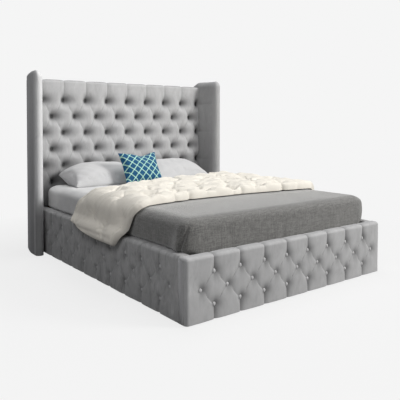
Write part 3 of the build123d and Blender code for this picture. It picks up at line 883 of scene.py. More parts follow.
@dataclass
class LowPanels:
    """The buttoned footboard and side rails."""

    outer_x: float = 0.850
    rail_inner_x: float = 0.765
    foot_face: float = -1.100
    foot_back: float = -1.028
    rail_start: float = -1.0277
    rail_end: float = 1.0647
    rail_first: float = 0.092
    low_z: float = 0.006
    top_z: float = 0.360
    middle_row: float = 0.175
    rise: float = 0.0895
    core_top: float = 0.3303
    cloth: float = 0.006
    foot_front: float = 0.030
    rail_front: float = 0.035
    foot_round: float = 0.022
    rail_round: float = 0.024
    foot_pitch: float = 0.094
    rail_pitch: float = 0.0975
    welt_radius: float = 0.0022
    foot_button: Button = Button(radius=0.0128, dome=0.0080, proud=0.0055)
    rail_button: Button = Button(radius=0.0128, dome=0.0065, proud=0.003)
    foot_draw: Draw = Draw(pit=0.0135, pit_reach=0.021, pleat=0.0075, middle=0.52, flank=0.017, lip=0.0032,
                           valley=0.0040, valley_reach=0.034, border=0.80)
    rail_draw: Draw = Draw(pit=0.0135, pit_reach=0.020, pleat=0.0065, middle=0.60, flank=0.018, lip=0.0034,
                           valley=0.0045, valley_reach=0.034, border=0.70)
    foot_painted_shade: PaintedShade = PaintedShade(core=0.0175, core_dark=0.78, flank=(0.050, 0.040), flank_dark=0.50, line=0.0030,
                        line_dark=0.55, fall=0.022, fall_dark=0.42)
    rail_painted_shade: PaintedShade = PaintedShade(core=0.0165, core_dark=0.50, flank=(0.036, 0.032), flank_dark=0.30, line=0.0030,
                        line_dark=0.30, fall=0.018, fall_dark=0.25)

    def tufting(self, odd: range, even: range, pitch: float, draw: Draw, painted_shade: PaintedShade) -> Tufting:
        """Lay out three staggered rows of buttons.

        Args:
            odd: the columns of the upper and lower rows.
            even: the columns of the middle row.
            pitch: the distance from one column to the next.
            draw: how buttons and pleats draw the cover in.
            painted_shade: the shade painted round the buttons and along the pleats.

        Returns:
            The tufting, with its pleats running out beyond both edges.
        """
        rows = tuple((self.middle_row + lift * self.rise, tuple(columns))
                     for lift, columns in ((1, odd), (0, even), (-1, odd)))
        return Tufting(rows, pitch, 3.0, (-0.02, 0.46), draw, painted_shade)

    def section(self, face: float, back: float, front: float) -> tuple[Line, Line]:
        """Give a panel's face and the pocket that the board stands in.

        Args:
            face: where the face lies.
            back: where the back lies.
            front: where the pocket's front lies.

        Returns:
            The face's corners and the pocket's.
        """
        inside = back - self.cloth
        return (((face, self.low_z), (face, self.top_z), (back, self.top_z)),
                ((back, self.low_z), (inside, self.low_z), (inside, self.core_top), (front, self.core_top),
                 (front, self.low_z)))

    def footboard(self) -> None:
        """Make the footboard's padding and buttons."""
        tufting = self.tufting(range(-7, 8, 2), range(-8, 9, 2), self.foot_pitch, self.foot_draw,
                               self.foot_painted_shade)
        section = self.section(self.foot_face, self.foot_back, self.foot_face + self.foot_front)
        panel = TuftedPanel("footboard_velvet", tufting, (-self.outer_x, self.outer_x), *section,
                            self.foot_round, self.foot_round, 4.1, self.outer_x - 0.025)
        dress(panel.build(), VELVET_FOOT_PAINTED_SHADE.make(), "velvet", "footboard_padding")
        buttons = self.foot_button.cover("footboard_button_covers", tufting, self.foot_face)
        dress(buttons, BUTTON_VELVET.make(), "button_velvet", "footboard_buttons")

    def rail(self, side: Side) -> None:
        """Make one side rail's padding and buttons, swept along X and then turned into place."""
        tufting = self.tufting(range(1, 18, 2), range(0, 20, 2), self.rail_pitch, self.rail_draw,
                               self.rail_painted_shade)
        first = self.rail_start + self.rail_first
        section = self.section(0.0, self.outer_x - self.rail_inner_x, self.rail_front)
        name = f"{side.name.lower()}_rail"
        panel = TuftedPanel(f"{name}_velvet", tufting, (self.rail_start - first, self.rail_end - first),
                            *section, self.rail_round, 0.0, 5.7 + side.value)

        def turn(points: Array) -> Array:
            """Turn the sweep's X to the bed's Y."""
            x, y, z = points.T
            return np.stack([side.value * (self.outer_x - y), x + first, z], axis=1)

        dress(settle(panel.build(), turn), VELVET_RAIL_PAINTED_SHADE.make(), "velvet", f"{name}_padding")
        buttons = self.rail_button.cover(f"{name}_button_covers", tufting, 0.0)
        dress(settle(buttons, turn), BUTTON_VELVET.make(), "button_velvet", f"{name}_buttons")

    def welt(self, side: Side, number: int, place: float) -> None:
        """Stitch one thin welt up a footboard end.

        Args:
            side: the end it is on.
            number: which of the end's two welts it is.
            place: its place along the bed.
        """
        heights = np.linspace(self.low_z + 0.004, self.top_z - 0.030, 40)[:, None]
        turn = np.linspace(0, 2 * math.pi, 9)[None, :-1]
        out = self.outer_x - 0.0008 + 0.0003 * np.sin(heights * 60)
        rows = np.stack(np.broadcast_arrays(side.value * (out + self.welt_radius * np.cos(turn)),
                                            place + self.welt_radius * np.sin(turn), heights), axis=2)
        piece = knit(f"footboard_{side.name.lower()}_welt_{number}", rows)
        dress(piece, VELVET_RAIL_PAINTED_SHADE.make(), "velvet")

    def build(self) -> None:
        """Make the footboard with its welts, and both rails."""
        self.footboard()
        for side in Side:
            self.rail(side)
            self.welt(side, 1, self.foot_face + 0.024)
            self.welt(side, 2, self.foot_back - 0.006)


@dataclass(frozen=True)
class PaintedWingShade:
    """Shade painted into the pile of the wings: over all of the right one, and on the left one's shaded
    faces.

    Pairs are the places between which the painted shade sets in: behind the front edge, on the inner face,
    and lower down on the right wing's inner face, the left wing's outer face and its front edge.
    """

    right: float = 0.42
    right_inner: float = 0.14
    right_low: float = 0.18
    left: float = 0.24
    left_low: float = 0.42
    left_inner: float = 0.40
    left_front: float = 0.66
    behind_y: Point2 = (0.795, 0.845)
    inner_x: Point2 = (0.905, 0.875)
    right_z: Point2 = (1.2, 0.6)
    left_z: Point2 = (1.25, 0.20)
    front_z: Point2 = (0.56, 0.32)


@dataclass
class Wing:
    """A padded wing, bowed outwards, rolled over its front and top edges and ramped to the headboard.

    Pairs named _y are places from front to back, between which the pair before them changes. The inner face
    is kept clear of the rail's end by rail_x, rail_y and rail_z.
    """

    side: Side
    front_y: float = 0.774
    back_y: float = 1.0977
    low_z: float = 0.006
    top_z: float = 1.480
    board_z: float = 1.452
    corner: float = 0.060
    ramp: Point2 = (1.030, 1.115)
    roll: float = 0.033
    top_roll: float = 0.042
    back_roll: float = 0.006
    roll_y: Point2 = (1.03, 1.085)
    slope: Point2 = (0.072, 0.058)
    slope_y: Point2 = (0.82, 0.88)
    rail_x: float = 0.8503
    rail_y: float = 0.812
    rail_z: float = 0.363
    crest: Point2 = (0.11, 0.14)
    crest_y: Point2 = (0.82, 0.86)
    crest_reach: float = 0.12
    stations: tuple[float, ...] = (0.807, 0.850, 0.880, 0.910, 0.940, 0.970, 1.010, 1.050, 1.0977)
    inner_x: tuple[float, ...] = (0.8813, 0.8800, 0.8765, 0.8690, 0.8570, 0.8420, 0.8263, 0.8263, 0.8263)
    outer_x: tuple[float, ...] = (0.9450, 0.9460, 0.9455, 0.9440, 0.9405, 0.9350, 0.9260, 0.9160, 0.9043)
    pleat_heights: tuple[float, ...] = (1.256, 0.978, 0.700)
    pleat_depth: float = 0.0030
    pleat_y: Point2 = (0.82, 0.94)
    dimple: Point2 = (0.008, 0.026)
    uneven: float = 0.0012
    painted_wing_shade: PaintedWingShade = PaintedWingShade()

    def top_at(self, along: Array) -> Array:
        """Give the height of the top edge over each place from front to back."""
        rounded = self.corner * (1 - arched(between(along, self.front_y, self.front_y + self.corner)))
        return self.top_z - rounded - (self.top_z - self.board_z) * eased(between(along, *self.ramp))

    def outline(self) -> Array:
        """Follow the front and top edges from the floor to the back, as Y and Z."""
        upright = [(self.front_y, z) for z in np.linspace(self.low_z - 0.2, self.top_z - self.corner, 60)]
        along = self.front_y + (self.back_y + 0.1 - self.front_y) * np.linspace(0, 1, 90)[1:] ** 2
        return np.array(upright + list(zip(along, self.top_at(np.minimum(along, self.back_y)))))

    def pleats(self, back: Array, up: Array) -> Array:
        """Work out how far pleats and dimples draw the inner face in at each place."""
        total = np.zeros_like(up)
        fade = between(back, *self.pleat_y)
        for height in self.pleat_heights:
            total += self.pleat_depth * fade * hill(up - height, np.where(up > height, 0.003, 0.018), 1)
            total += self.dimple[0] * hill(np.hypot((back - 1.0) / 1.3, up - height), self.dimple[1], 1.5)
        return total

    def build(self) -> None:
        """Knit both faces from front to back and floor to top, joined along the rolled edges."""
        front = self.front_y + self.roll * (1 - np.cos(np.linspace(0, QUARTER, 9)))
        along = np.concatenate([front, np.linspace(self.front_y + self.roll, self.back_y, 52)[1:]])
        top = self.top_at(along)[:, None]
        down = self.top_roll * (1 - np.cos(np.linspace(0, QUARTER, 11)))
        below = (top - self.top_roll - self.low_z) * np.linspace(0, 1, 190)[1:]
        up = np.concatenate([top - down, top - self.top_roll - below], axis=1)[:, ::-1]
        back = np.broadcast_to(along[:, None], up.shape)
        squash = np.array([1.0, self.roll / self.top_roll])
        inset = self.inset(np.stack([back.ravel(), up.ravel()], axis=1) * squash, self.outline() * squash)
        roll = np.interp(back, self.roll_y, (self.roll, self.back_roll))
        full = arched(unit(inset.reshape(up.shape) / roll))
        lean = np.minimum(full, arched(unit((top - up) / np.interp(back, self.slope_y, self.slope))))
        inner, outer = (np.interp(back, self.stations, values) for values in (self.inner_x, self.outer_x))
        inner = np.where((up < self.rail_z) & (back > self.rail_y), np.maximum(inner, self.rail_x), inner)
        crest = np.interp(back, self.crest_y, self.crest) * unit((up - top) / self.crest_reach + 1)
        middle = inner + (outer - inner) * (0.5 + crest)
        soft = self.uneven * np.abs(ripple(back, up, 0.3, 3.0 + self.side.value, (1.0, 0.6)))
        inside = middle - (middle - inner - self.pleats(back, up) - soft) * lean
        outside = middle + (outer - middle - soft) * full
        faces = [np.stack([self.side.value * face, back, up], axis=2) for face in (inside, outside)]
        name = f"{self.side.name.lower()}_wing"
        piece = knit(f"{name}_velvet", np.concatenate([faces[0], faces[1][:, ::-1]], axis=1))
        # Paint shade into the pile of this wing, darker on its shaded faces and lower down.
        paint_shade(piece, self.mottle_and_painted_shade(np.abs(points_of(piece))))
        dress(piece, VELVET_WING_PAINTED_LIGHT.make(), "velvet", f"{name}_padding")

    def mottle_and_painted_shade(self, points: Array) -> Array:
        """Work out the shade painted into the pile on this wing, darker on its shaded faces and lower down.

        Args:
            points: the wing's points, counted from the middle of the bed.

        Returns:
            Shares of painted shade, from 0 where none is painted to 1 where the pile is painted black.
        """
        x, y, z = points.T
        pile = self.painted_wing_shade
        behind = between(y, *pile.behind_y)
        inner = between(x, *pile.inner_x) * behind
        if self.side is Side.RIGHT:
            return pile.right + inner * (pile.right_inner + pile.right_low * between(z, *pile.right_z))
        outer = (pile.left + pile.left_low * between(z, *pile.left_z) ** 1.2) * behind
        front = pile.left_front * between(z, *pile.front_z) * (1 - behind)
        return np.maximum(np.maximum(outer, front), pile.left_inner * inner)

    @staticmethod
    def inset(points: Array, edge: Array) -> Array:
        """Measure how far each point lies from the edge line."""
        best = np.full(len(points), 9.0)
        for start, end in zip(edge, edge[1:]):
            run = end - start
            share = unit(((points - start) @ run) / (run @ run))
            best = np.minimum(best, np.hypot(*(points - start - share[:, None] * run).T))
        return best


def rounded_ring(half_x: float, half_y: float, radius: float, middle_y: float) -> Array:
    """Go round a rectangle with round corners, evenly enough for cloth.

    Args:
        half_x: half its width.
        half_y: half its length.
        radius: the corners' radius.
        middle_y: its middle along the bed.

    Returns:
        Points as x and y, the same number and order for any size.
    """
    corners = ((1, -1, -90), (1, 1, 0), (-1, 1, 90), (-1, -1, 180))
    arcs = []
    for sx, sy, start in corners:
        turn = np.radians(np.linspace(start, start + 90, 29))
        arcs.append(np.stack([sx * (half_x - radius) + radius * np.cos(turn),
                              middle_y + sy * (half_y - radius) + radius * np.sin(turn)], axis=1))
    ring = []
    for arc, after, count in zip(arcs, arcs[1:] + arcs[:1], (170, 126, 170, 126)):
        ring += [arc, arc[-1] + np.linspace(0, 1, count)[1:-1, None] * (after[0] - arc[-1])]
    return np.concatenate(ring)


@dataclass(frozen=True)
class Ruffle:
    """Soft folds that a cover hangs in: their height, their width and where they may start."""

    height: float
    size: float
    seed: float
    free_from: float


@dataclass
class Bedding:
    """Mattress, sheets and blanket."""

    half_width: float = 0.750
    foot_y: float = -1.014
    head_y: float = 0.986
    base_z: float = 0.285
    top_z: float = 0.535
    corner: float = 0.070
    edge: float = 0.056
    under_edge: float = 0.026
    bulge: float = 0.036
    bulge_x: Point2 = (0.60, 0.72)
    bulge_end: Point2 = (0.575, 0.500)
    shoulder: tuple[float, float, float] = (0.338, 0.362, 0.374)
    middle_gap: float = 0.004
    fitted_folds: Ruffle = Ruffle(height=0.0022, size=0.16, seed=1.2, free_from=0.73)
    flat_folds: Ruffle = Ruffle(height=0.0052, size=0.20, seed=3.4, free_from=0.16)
    flat_head: float = 0.72
    blanket_head: float = 0.18
    lap_start: float = 0.004
    lap_slant: float = 0.050
    lap: float = 0.0170
    lap_widths: Point2 = (0.060, 0.030)
    slit: float = 0.0150
    sink: float = 0.0014

    def ring(self, growth: float, inset: float, height: float) -> Array:
        """Go round the mattress, grown outwards and drawn in, at a height."""
        radius = max(self.corner + growth - inset, 0.03) if inset < 0.1 else 0.004
        half_y = (self.head_y - self.foot_y) / 2
        ring = rounded_ring(self.half_width + growth - inset, half_y + growth - inset, radius,
                            (self.head_y + self.foot_y) / 2)
        return np.column_stack([ring, np.full(len(ring), height)])

    def cover(self, name: str, growth: float, hem: float) -> Piece:
        """Lay an open cover over the mattress from its hem to the middle.

        Args:
            name: the piece's name.
            growth: how far it stands off the mattress.
            hem: the hem's height.

        Returns:
            The open cover, its innermost ring drawn together along the middle of the bed.
        """
        edge, top = self.edge + growth, self.top_z + growth
        profile = [(0, height) for height in np.linspace(hem, top - edge, 24)]
        profile += [(edge * (1 - math.cos(turn)), top - edge + edge * math.sin(turn))
                    for turn in np.linspace(0, QUARTER, 12)[1:]]
        profile += [(edge + share * (self.half_width + growth - edge - self.middle_gap), top)
                    for share in np.linspace(0, 1, 40)[1:]]
        piece = knit(name, np.array([self.ring(growth, *place) for place in profile]), caps=False)
        points = points_of(piece)
        points[np.abs(points[:, 0]) < self.middle_gap + 0.0005, 0] = 0.0
        place_points(piece, points)
        return edit(piece, (bpy.ops.mesh.remove_doubles, {"threshold": 0.0004}))

    def swell(self, points: Array) -> Array:
        """Push the sides out above the rails' round shoulders, as a full mattress does."""
        x, y, z = points.T
        low, middle, high = self.shoulder
        rise = 0.75 * between(z, low, middle) ** 2.2 + 0.25 * between(z, middle, high)
        rise *= eased(between(z, *self.bulge_end)) * between(np.abs(x), *self.bulge_x)
        return np.stack([x + np.sign(x) * self.bulge * rise, y, z], axis=1)

    def mattress(self) -> None:
        """Make the mattress with its crowned faces and soft edges."""
        edge, under = self.edge, self.under_edge
        profile = [(0.30, self.base_z), (0.05, self.base_z)]
        profile += [(under * (1 - math.sin(turn)), self.base_z + under * (1 - math.cos(turn)))
                    for turn in np.linspace(0, QUARTER, 6)]
        profile += [(0.0, z) for z in np.linspace(self.base_z + 0.05, self.top_z - edge - 0.02, 5)]
        profile += [(edge * (1 - math.cos(turn)), self.top_z - edge + edge * math.sin(turn))
                    for turn in np.linspace(0, QUARTER, 9)]
        profile += [(0.30, self.top_z)]
        rows = np.array([self.ring(-0.002, *place) for place in profile])
        rows[:, :, 2] -= 0.0015 * (rows[:, :, 2] > 0.4)
        piece = settle(knit("mattress_ticking", rows), self.swell)
        dress(piece, TICKING.make(), "mattress_ticking", "mattress")

    def hang(self, piece: Piece, ruffle: Ruffle) -> None:
        """Let a cover hang in soft folds down its sides and lie nearly flat on top."""
        points = points_of(piece)
        down = between(points[:, 2], self.top_z, self.base_z)
        folds = wobble(points, ruffle.size, ruffle.seed, (1, 1, 0.22)) * down**0.8
        pulls = np.abs(wobble(points, ruffle.size * 0.45, ruffle.seed + 2, (1, 1, 0.5))) * down**0.5
        flat = np.abs(wobble(points, ruffle.size * 1.7, ruffle.seed + 4)) * 0.4 * (1 - down)
        free = 0.15 + 0.85 * between(points[:, 1], ruffle.free_from, ruffle.free_from + 0.08)
        push_out(piece, np.maximum(folds + 0.35 * pulls + flat + 0.35, 0.0) * ruffle.height * free)

    def sheets(self) -> None:
        """Make the fitted sheet and the flat sheet."""
        cotton = WHITE_COTTON.make()
        fitted = self.cover("fitted_sheet_cotton", 0.0004, 0.300)
        self.hang(fitted, self.fitted_folds)
        thicken(settle(fitted, self.swell), 0.0010)
        dress(fitted, cotton, "white_cotton", "fitted_sheet")
        flat = self.cover("flat_sheet_cotton", 0.0026, 0.315)
        cut_beyond(flat, self.flat_head)
        self.hang(flat, self.flat_folds)
        thicken(settle(flat, self.swell), 0.0012)
        dress(flat, cotton, "white_cotton", "flat_sheet")

    def round_corner(self, points: Array, side: Side) -> Array:
        """Measure the way round a foot corner from its middle, positive towards the foot face."""
        across = side.value * points[:, 0] - self.half_width + self.corner
        along = self.foot_y + self.corner - points[:, 1]
        quarter = self.corner * math.pi / 4
        arc = self.corner * (np.arctan2(along, across) - math.pi / 4)
        return np.where(along < 0, along - quarter, np.where(across < 0, quarter - across, arc))

    def blanket(self) -> None:
        """Make the grey blanket, tucked in round the foot, each corner lapped over with a slit beside it."""
        piece = self.cover("blanket_linen", 0.0062, 0.332)
        cut_beyond(piece, self.blanket_head)
        points = points_of(piece)
        down = between(points[:, 2], self.top_z - 0.005, self.top_z - 0.175)
        offset = 0.0034 * np.abs(wobble(points, 0.30, 6.0, (1, 1, 0.25))) * down**0.7
        offset += 0.0004 * np.abs(wobble(points, 0.55, 2.0)) * (1 - down)
        for side in Side:
            past = self.round_corner(points, side) - self.lap_start + self.lap_slant * down
            fold = self.lap * hill(past, np.where(past < 0, *self.lap_widths))
            fold -= self.slit * hill(past - 0.011, 0.0075)
            offset += (side.value * points[:, 0] > 0.4) * fold * unit(down * 1.8)
        push_out(piece, np.maximum(offset, -self.sink))
        thicken(settle(piece, self.swell), 0.003)
        dress(piece, LINEN.make(), "grey_blanket", "blanket")

    def build(self) -> None:
        """Make every layer from the mattress up."""
        self.mattress()
        self.sheets()
        self.blanket()


@dataclass(frozen=True)
class Pinch:
    """One place where the comforter is pinched, with the creases that run out from it."""

    across: float
    along: float
    depth: float
    turn: float
    rays: int
    reach: float


@dataclass
class Comforter:
    """Cream comforter with pinched pleats, thrown across and over the left rail.

    Its underside follows way, from the right hem over the top to the left hem. Its foot and head edges are
    given as pairs of the reach across the bed, counted down the hanging sides too, and the place along it.
    """

    drop_z: float = 0.548
    puff: float = 0.053
    thin: float = 0.012
    seam: float = 0.0016
    hang: Point2 = (0.44, 0.28)
    pinch_across: float = 0.235
    pinch_along: float = 0.190
    pinch_reach: float = 0.052
    first_row: float = -0.600
    stray: Point2 = (0.030, 0.028)
    notch: Point2 = (0.016, 0.010)
    notch_width: float = 0.018
    tuck_depth: float = 0.0150
    tuck_width: float = 0.0045
    crease_width: float = 0.017
    crease_bow: float = 0.014
    longest_crease: float = 0.285
    ridge: float = 0.0120
    rim: float = 0.034
    stations: int = 290
    rings: int = 170
    way: Line = (
        (0.806, 0.452), (0.809, 0.48), (0.803, 0.51), (0.778, 0.537), (0.742, 0.551), (0.700, 0.5530),
        (0.35, 0.5530), (0.0, 0.5530), (-0.35, 0.5530), (-0.69, 0.5530), (-0.735, 0.551), (-0.778, 0.538),
        (-0.809, 0.50), (-0.814, 0.45), (-0.822, 0.405), (-0.841, 0.381), (-0.860, 0.364), (-0.871, 0.342),
        (-0.875, 0.318), (-0.877, 0.294))
    foot: Line = (
        (-1.130, -0.375), (-1.115, -0.398), (-1.08, -0.424), (-1.02, -0.452), (-0.93, -0.478),
        (-0.86, -0.505), (-0.78, -0.548), (-0.61, -0.515), (-0.28, -0.48), (0.16, -0.495), (0.66, -0.562),
        (0.74, -0.566), (0.80, -0.540), (0.90, -0.500))
    head: Line = (
        (-1.130, -0.21), (-1.122, -0.13), (-1.10, 0.075), (-1.065, 0.262), (-0.96, 0.285), (-0.90, 0.27),
        (-0.78, 0.20), (-0.65, 0.165), (-0.37, 0.24), (-0.10, 0.34), (0.10, 0.40), (0.32, 0.42), (0.50, 0.45),
        (0.75, 0.56), (0.90, 0.57))

    def path(self) -> Array:
        """Follow the underside smoothly and evenly, as distance, x and z."""
        curve = bpy.data.curves.new("comforter_path", "CURVE")
        spline = curve.splines.new("NURBS")
        spline.points.add(len(self.way) - 1)
        for point, (x, z) in zip(spline.points, self.way):
            point.co = (x, 0, z, 1)
        spline.order_u = 3
        spline.use_endpoint_u = True
        spline.resolution_u = 12
        curve.dimensions = "3D"
        holder = bpy.data.objects.new("comforter_path", curve)
        sampled = bpy.data.meshes.new_from_object(holder)
        x, _, z = np.array([vertex.co for vertex in sampled.vertices]).T
        bpy.data.objects.remove(holder)
        bpy.data.meshes.remove(sampled)
        run = np.concatenate([[0], np.cumsum(np.hypot(np.diff(x), np.diff(z)))])
        even = np.linspace(0, run[-1], self.stations)
        return np.stack([even, np.interp(even, run, x), np.interp(even, run, z)])

    def normals(self, along: Array, x: Array, z: Array) -> Array:
        """Work out the path's upward normals, smoothed so that the comforter never folds into itself."""
        normal = np.stack([-np.gradient(z, along), np.gradient(x, along)], axis=1)
        normal /= np.linalg.norm(normal, axis=1)[:, None]
        normal *= math.copysign(1, normal[len(normal) // 2, 1])
        for _ in range(24):
            normal[1:-1] = (normal[:-2] + normal[1:-1] + normal[2:]) / 3
        return normal / np.linalg.norm(normal, axis=1)[:, None]

    def pinches(self, length: float) -> list[Pinch]:
        """Lay out the pinches in uneven staggered rows.

        Args:
            length: the path's length.

        Returns:
            Every pinch.
        """
        found = []
        for row in range(8):
            for column in range(int(length / self.pinch_across) + 2):
                key = 1.7 * row + 2.3 * column
                across = (column + 0.5 * (row % 2)) * self.pinch_across + self.stray[0] * math.sin(3.1 * key)
                along = self.first_row + row * self.pinch_along + self.stray[1] * math.cos(2.3 * key + row)
                depth = 0.75 + 0.25 * math.sin(5.3 * key)
                reach = 0.085 + 0.02 * math.sin(key)
                found.append(Pinch(across, along, depth, 1.9 * key, 5 + column % 3, reach))
        return found

    def build(self) -> None:
        """Knit the under and upper sides, the upper one puffed between its pinches."""
        along, x, z = self.path()
        reach = np.where(z < self.drop_z, np.sign(x) * (np.abs(x) + (self.drop_z - z)), x)
        foot, head = (np.interp(reach, *np.array(edge).T) for edge in (self.foot, self.head))
        for column in range(1, int(along[-1] / self.pinch_across)):
            place = (column + 0.35 * math.sin(2.7 * column)) * self.pinch_across
            deep = self.notch[0] + self.notch[1] * math.sin(4.1 * column)
            foot += deep * hill(along - place, self.notch_width, 1)
        normal = self.normals(along, x, z)
        share = np.linspace(0, 1, self.rings)
        v = foot[:, None] + share * (head - foot)[:, None]
        u, across, level = (np.broadcast_to(values[:, None], v.shape) for values in (along, x, z))
        height = self.loft(u, v, share, along)
        lower = np.stack([across, v, level], axis=2)
        upper = lower + height[:, :, None] * np.insert(normal, 1, 0, axis=1)[:, None]
        piece = knit("comforter_sateen", np.concatenate([lower, upper[:, ::-1]], axis=1))
        dress(piece, CREAM_COTTON.make(), "cream_comforter", "comforter")

    def gathers(self, u: Array, v: Array, pinches: list[Pinch]) -> tuple[Array, Array]:
        """Work out how near each place is to a pinch, and the tucks that run out from the pinches."""
        nearest, tucks = np.full(u.shape, 1.0), np.zeros(u.shape)
        for pinch in pinches:
            du, dv = u - pinch.across, v - pinch.along
            away = np.hypot(du, dv)
            if away.min() > 0.15:
                continue
            nearest = np.minimum(nearest, away / pinch.depth)
            turn = np.arctan2(dv, du) + pinch.turn + 0.5 * np.sin(14 * away)
            ray = np.abs(np.sin(turn * pinch.rays / 2)) * away * 2 / pinch.rays
            tucks += hill(ray, self.tuck_width, 1) * unit(1 - away / pinch.reach) ** 0.8 * unit(away / 0.01)
        return nearest, tucks

    def creases(self, u: Array, v: Array, pinches: list[Pinch]) -> Array:
        """Work out the creases that run from pinch to pinch."""
        total = np.zeros(u.shape)
        for number, first in enumerate(pinches):
            for second in pinches[number + 1:]:
                run = (second.across - first.across, second.along - first.along)
                length = math.hypot(*run)
                if length > self.longest_crease or math.sin(9.1 * first.turn + 5.7 * second.turn) > 0.75:
                    continue
                near = (np.abs(u - first.across) < 0.33) & (np.abs(v - first.along) < 0.33)
                du, dv = u[near] - first.across, v[near] - first.along
                part = unit((du * run[0] + dv * run[1]) / length**2)
                bow = self.crease_bow * np.sin(math.pi * 2 * part + first.turn) / length
                away = np.hypot(du - part * run[0] + bow * run[1], dv - part * run[1] - bow * run[0])
                deep = (0.30 + 0.70 * np.abs(2 * part - 1) ** 1.3) * hill(away, self.crease_width, 1)
                total[near] = np.maximum(total[near], deep)
        return total

    def loft(self, u: Array, v: Array, share: Array, along: Array) -> Array:
        """Work out the comforter's thickness everywhere.

        Args:
            u: distance across, along the path.
            v: place along the bed.
            share: share of the way from the foot edge to the head edge.
            along: the path's distances.

        Returns:
            The thickness, thin at every edge.
        """
        hanging = between(u, along[-1] - self.hang[0], along[-1] - self.hang[1])
        pinches = self.pinches(along[-1])
        nearest, tucks = self.gathers(u, v, pinches)
        swell = (1 - 0.72 * hill(nearest, self.pinch_reach, 1.5)) * (1 - 0.55 * self.creases(u, v, pinches))
        body = self.puff * (1 - 0.30 * hanging) * (1 - (1 - swell) * (1 - 0.58 * hanging))
        body -= self.tuck_depth * tucks * (1 - 0.3 * hanging)
        ridges = self.ridge * (1 - np.abs(ripple(u, v, 0.17, 12.0, (0.7, 1.5))))
        body += (ridges + 0.0014 * ripple(u, v, 0.055, 15.0, (1.0, 1.6))) * (1 - 0.75 * hanging)
        edge_run = np.minimum(share, 1 - share) * np.abs(v[:, -1] - v[:, 0])[:, None]
        rim_run = np.minimum(edge_run, np.minimum(along, along[-1] - along)[:, None])
        gather = 1 + 0.5 * ripple(u, v, 0.030, 21.0)
        seam = 1 - (0.05 + 0.13 * hanging) * gather * hill(rim_run - 0.038, 0.008)
        return np.maximum(body, self.thin) * arched(unit(rim_run / self.rim)) * seam + self.seam


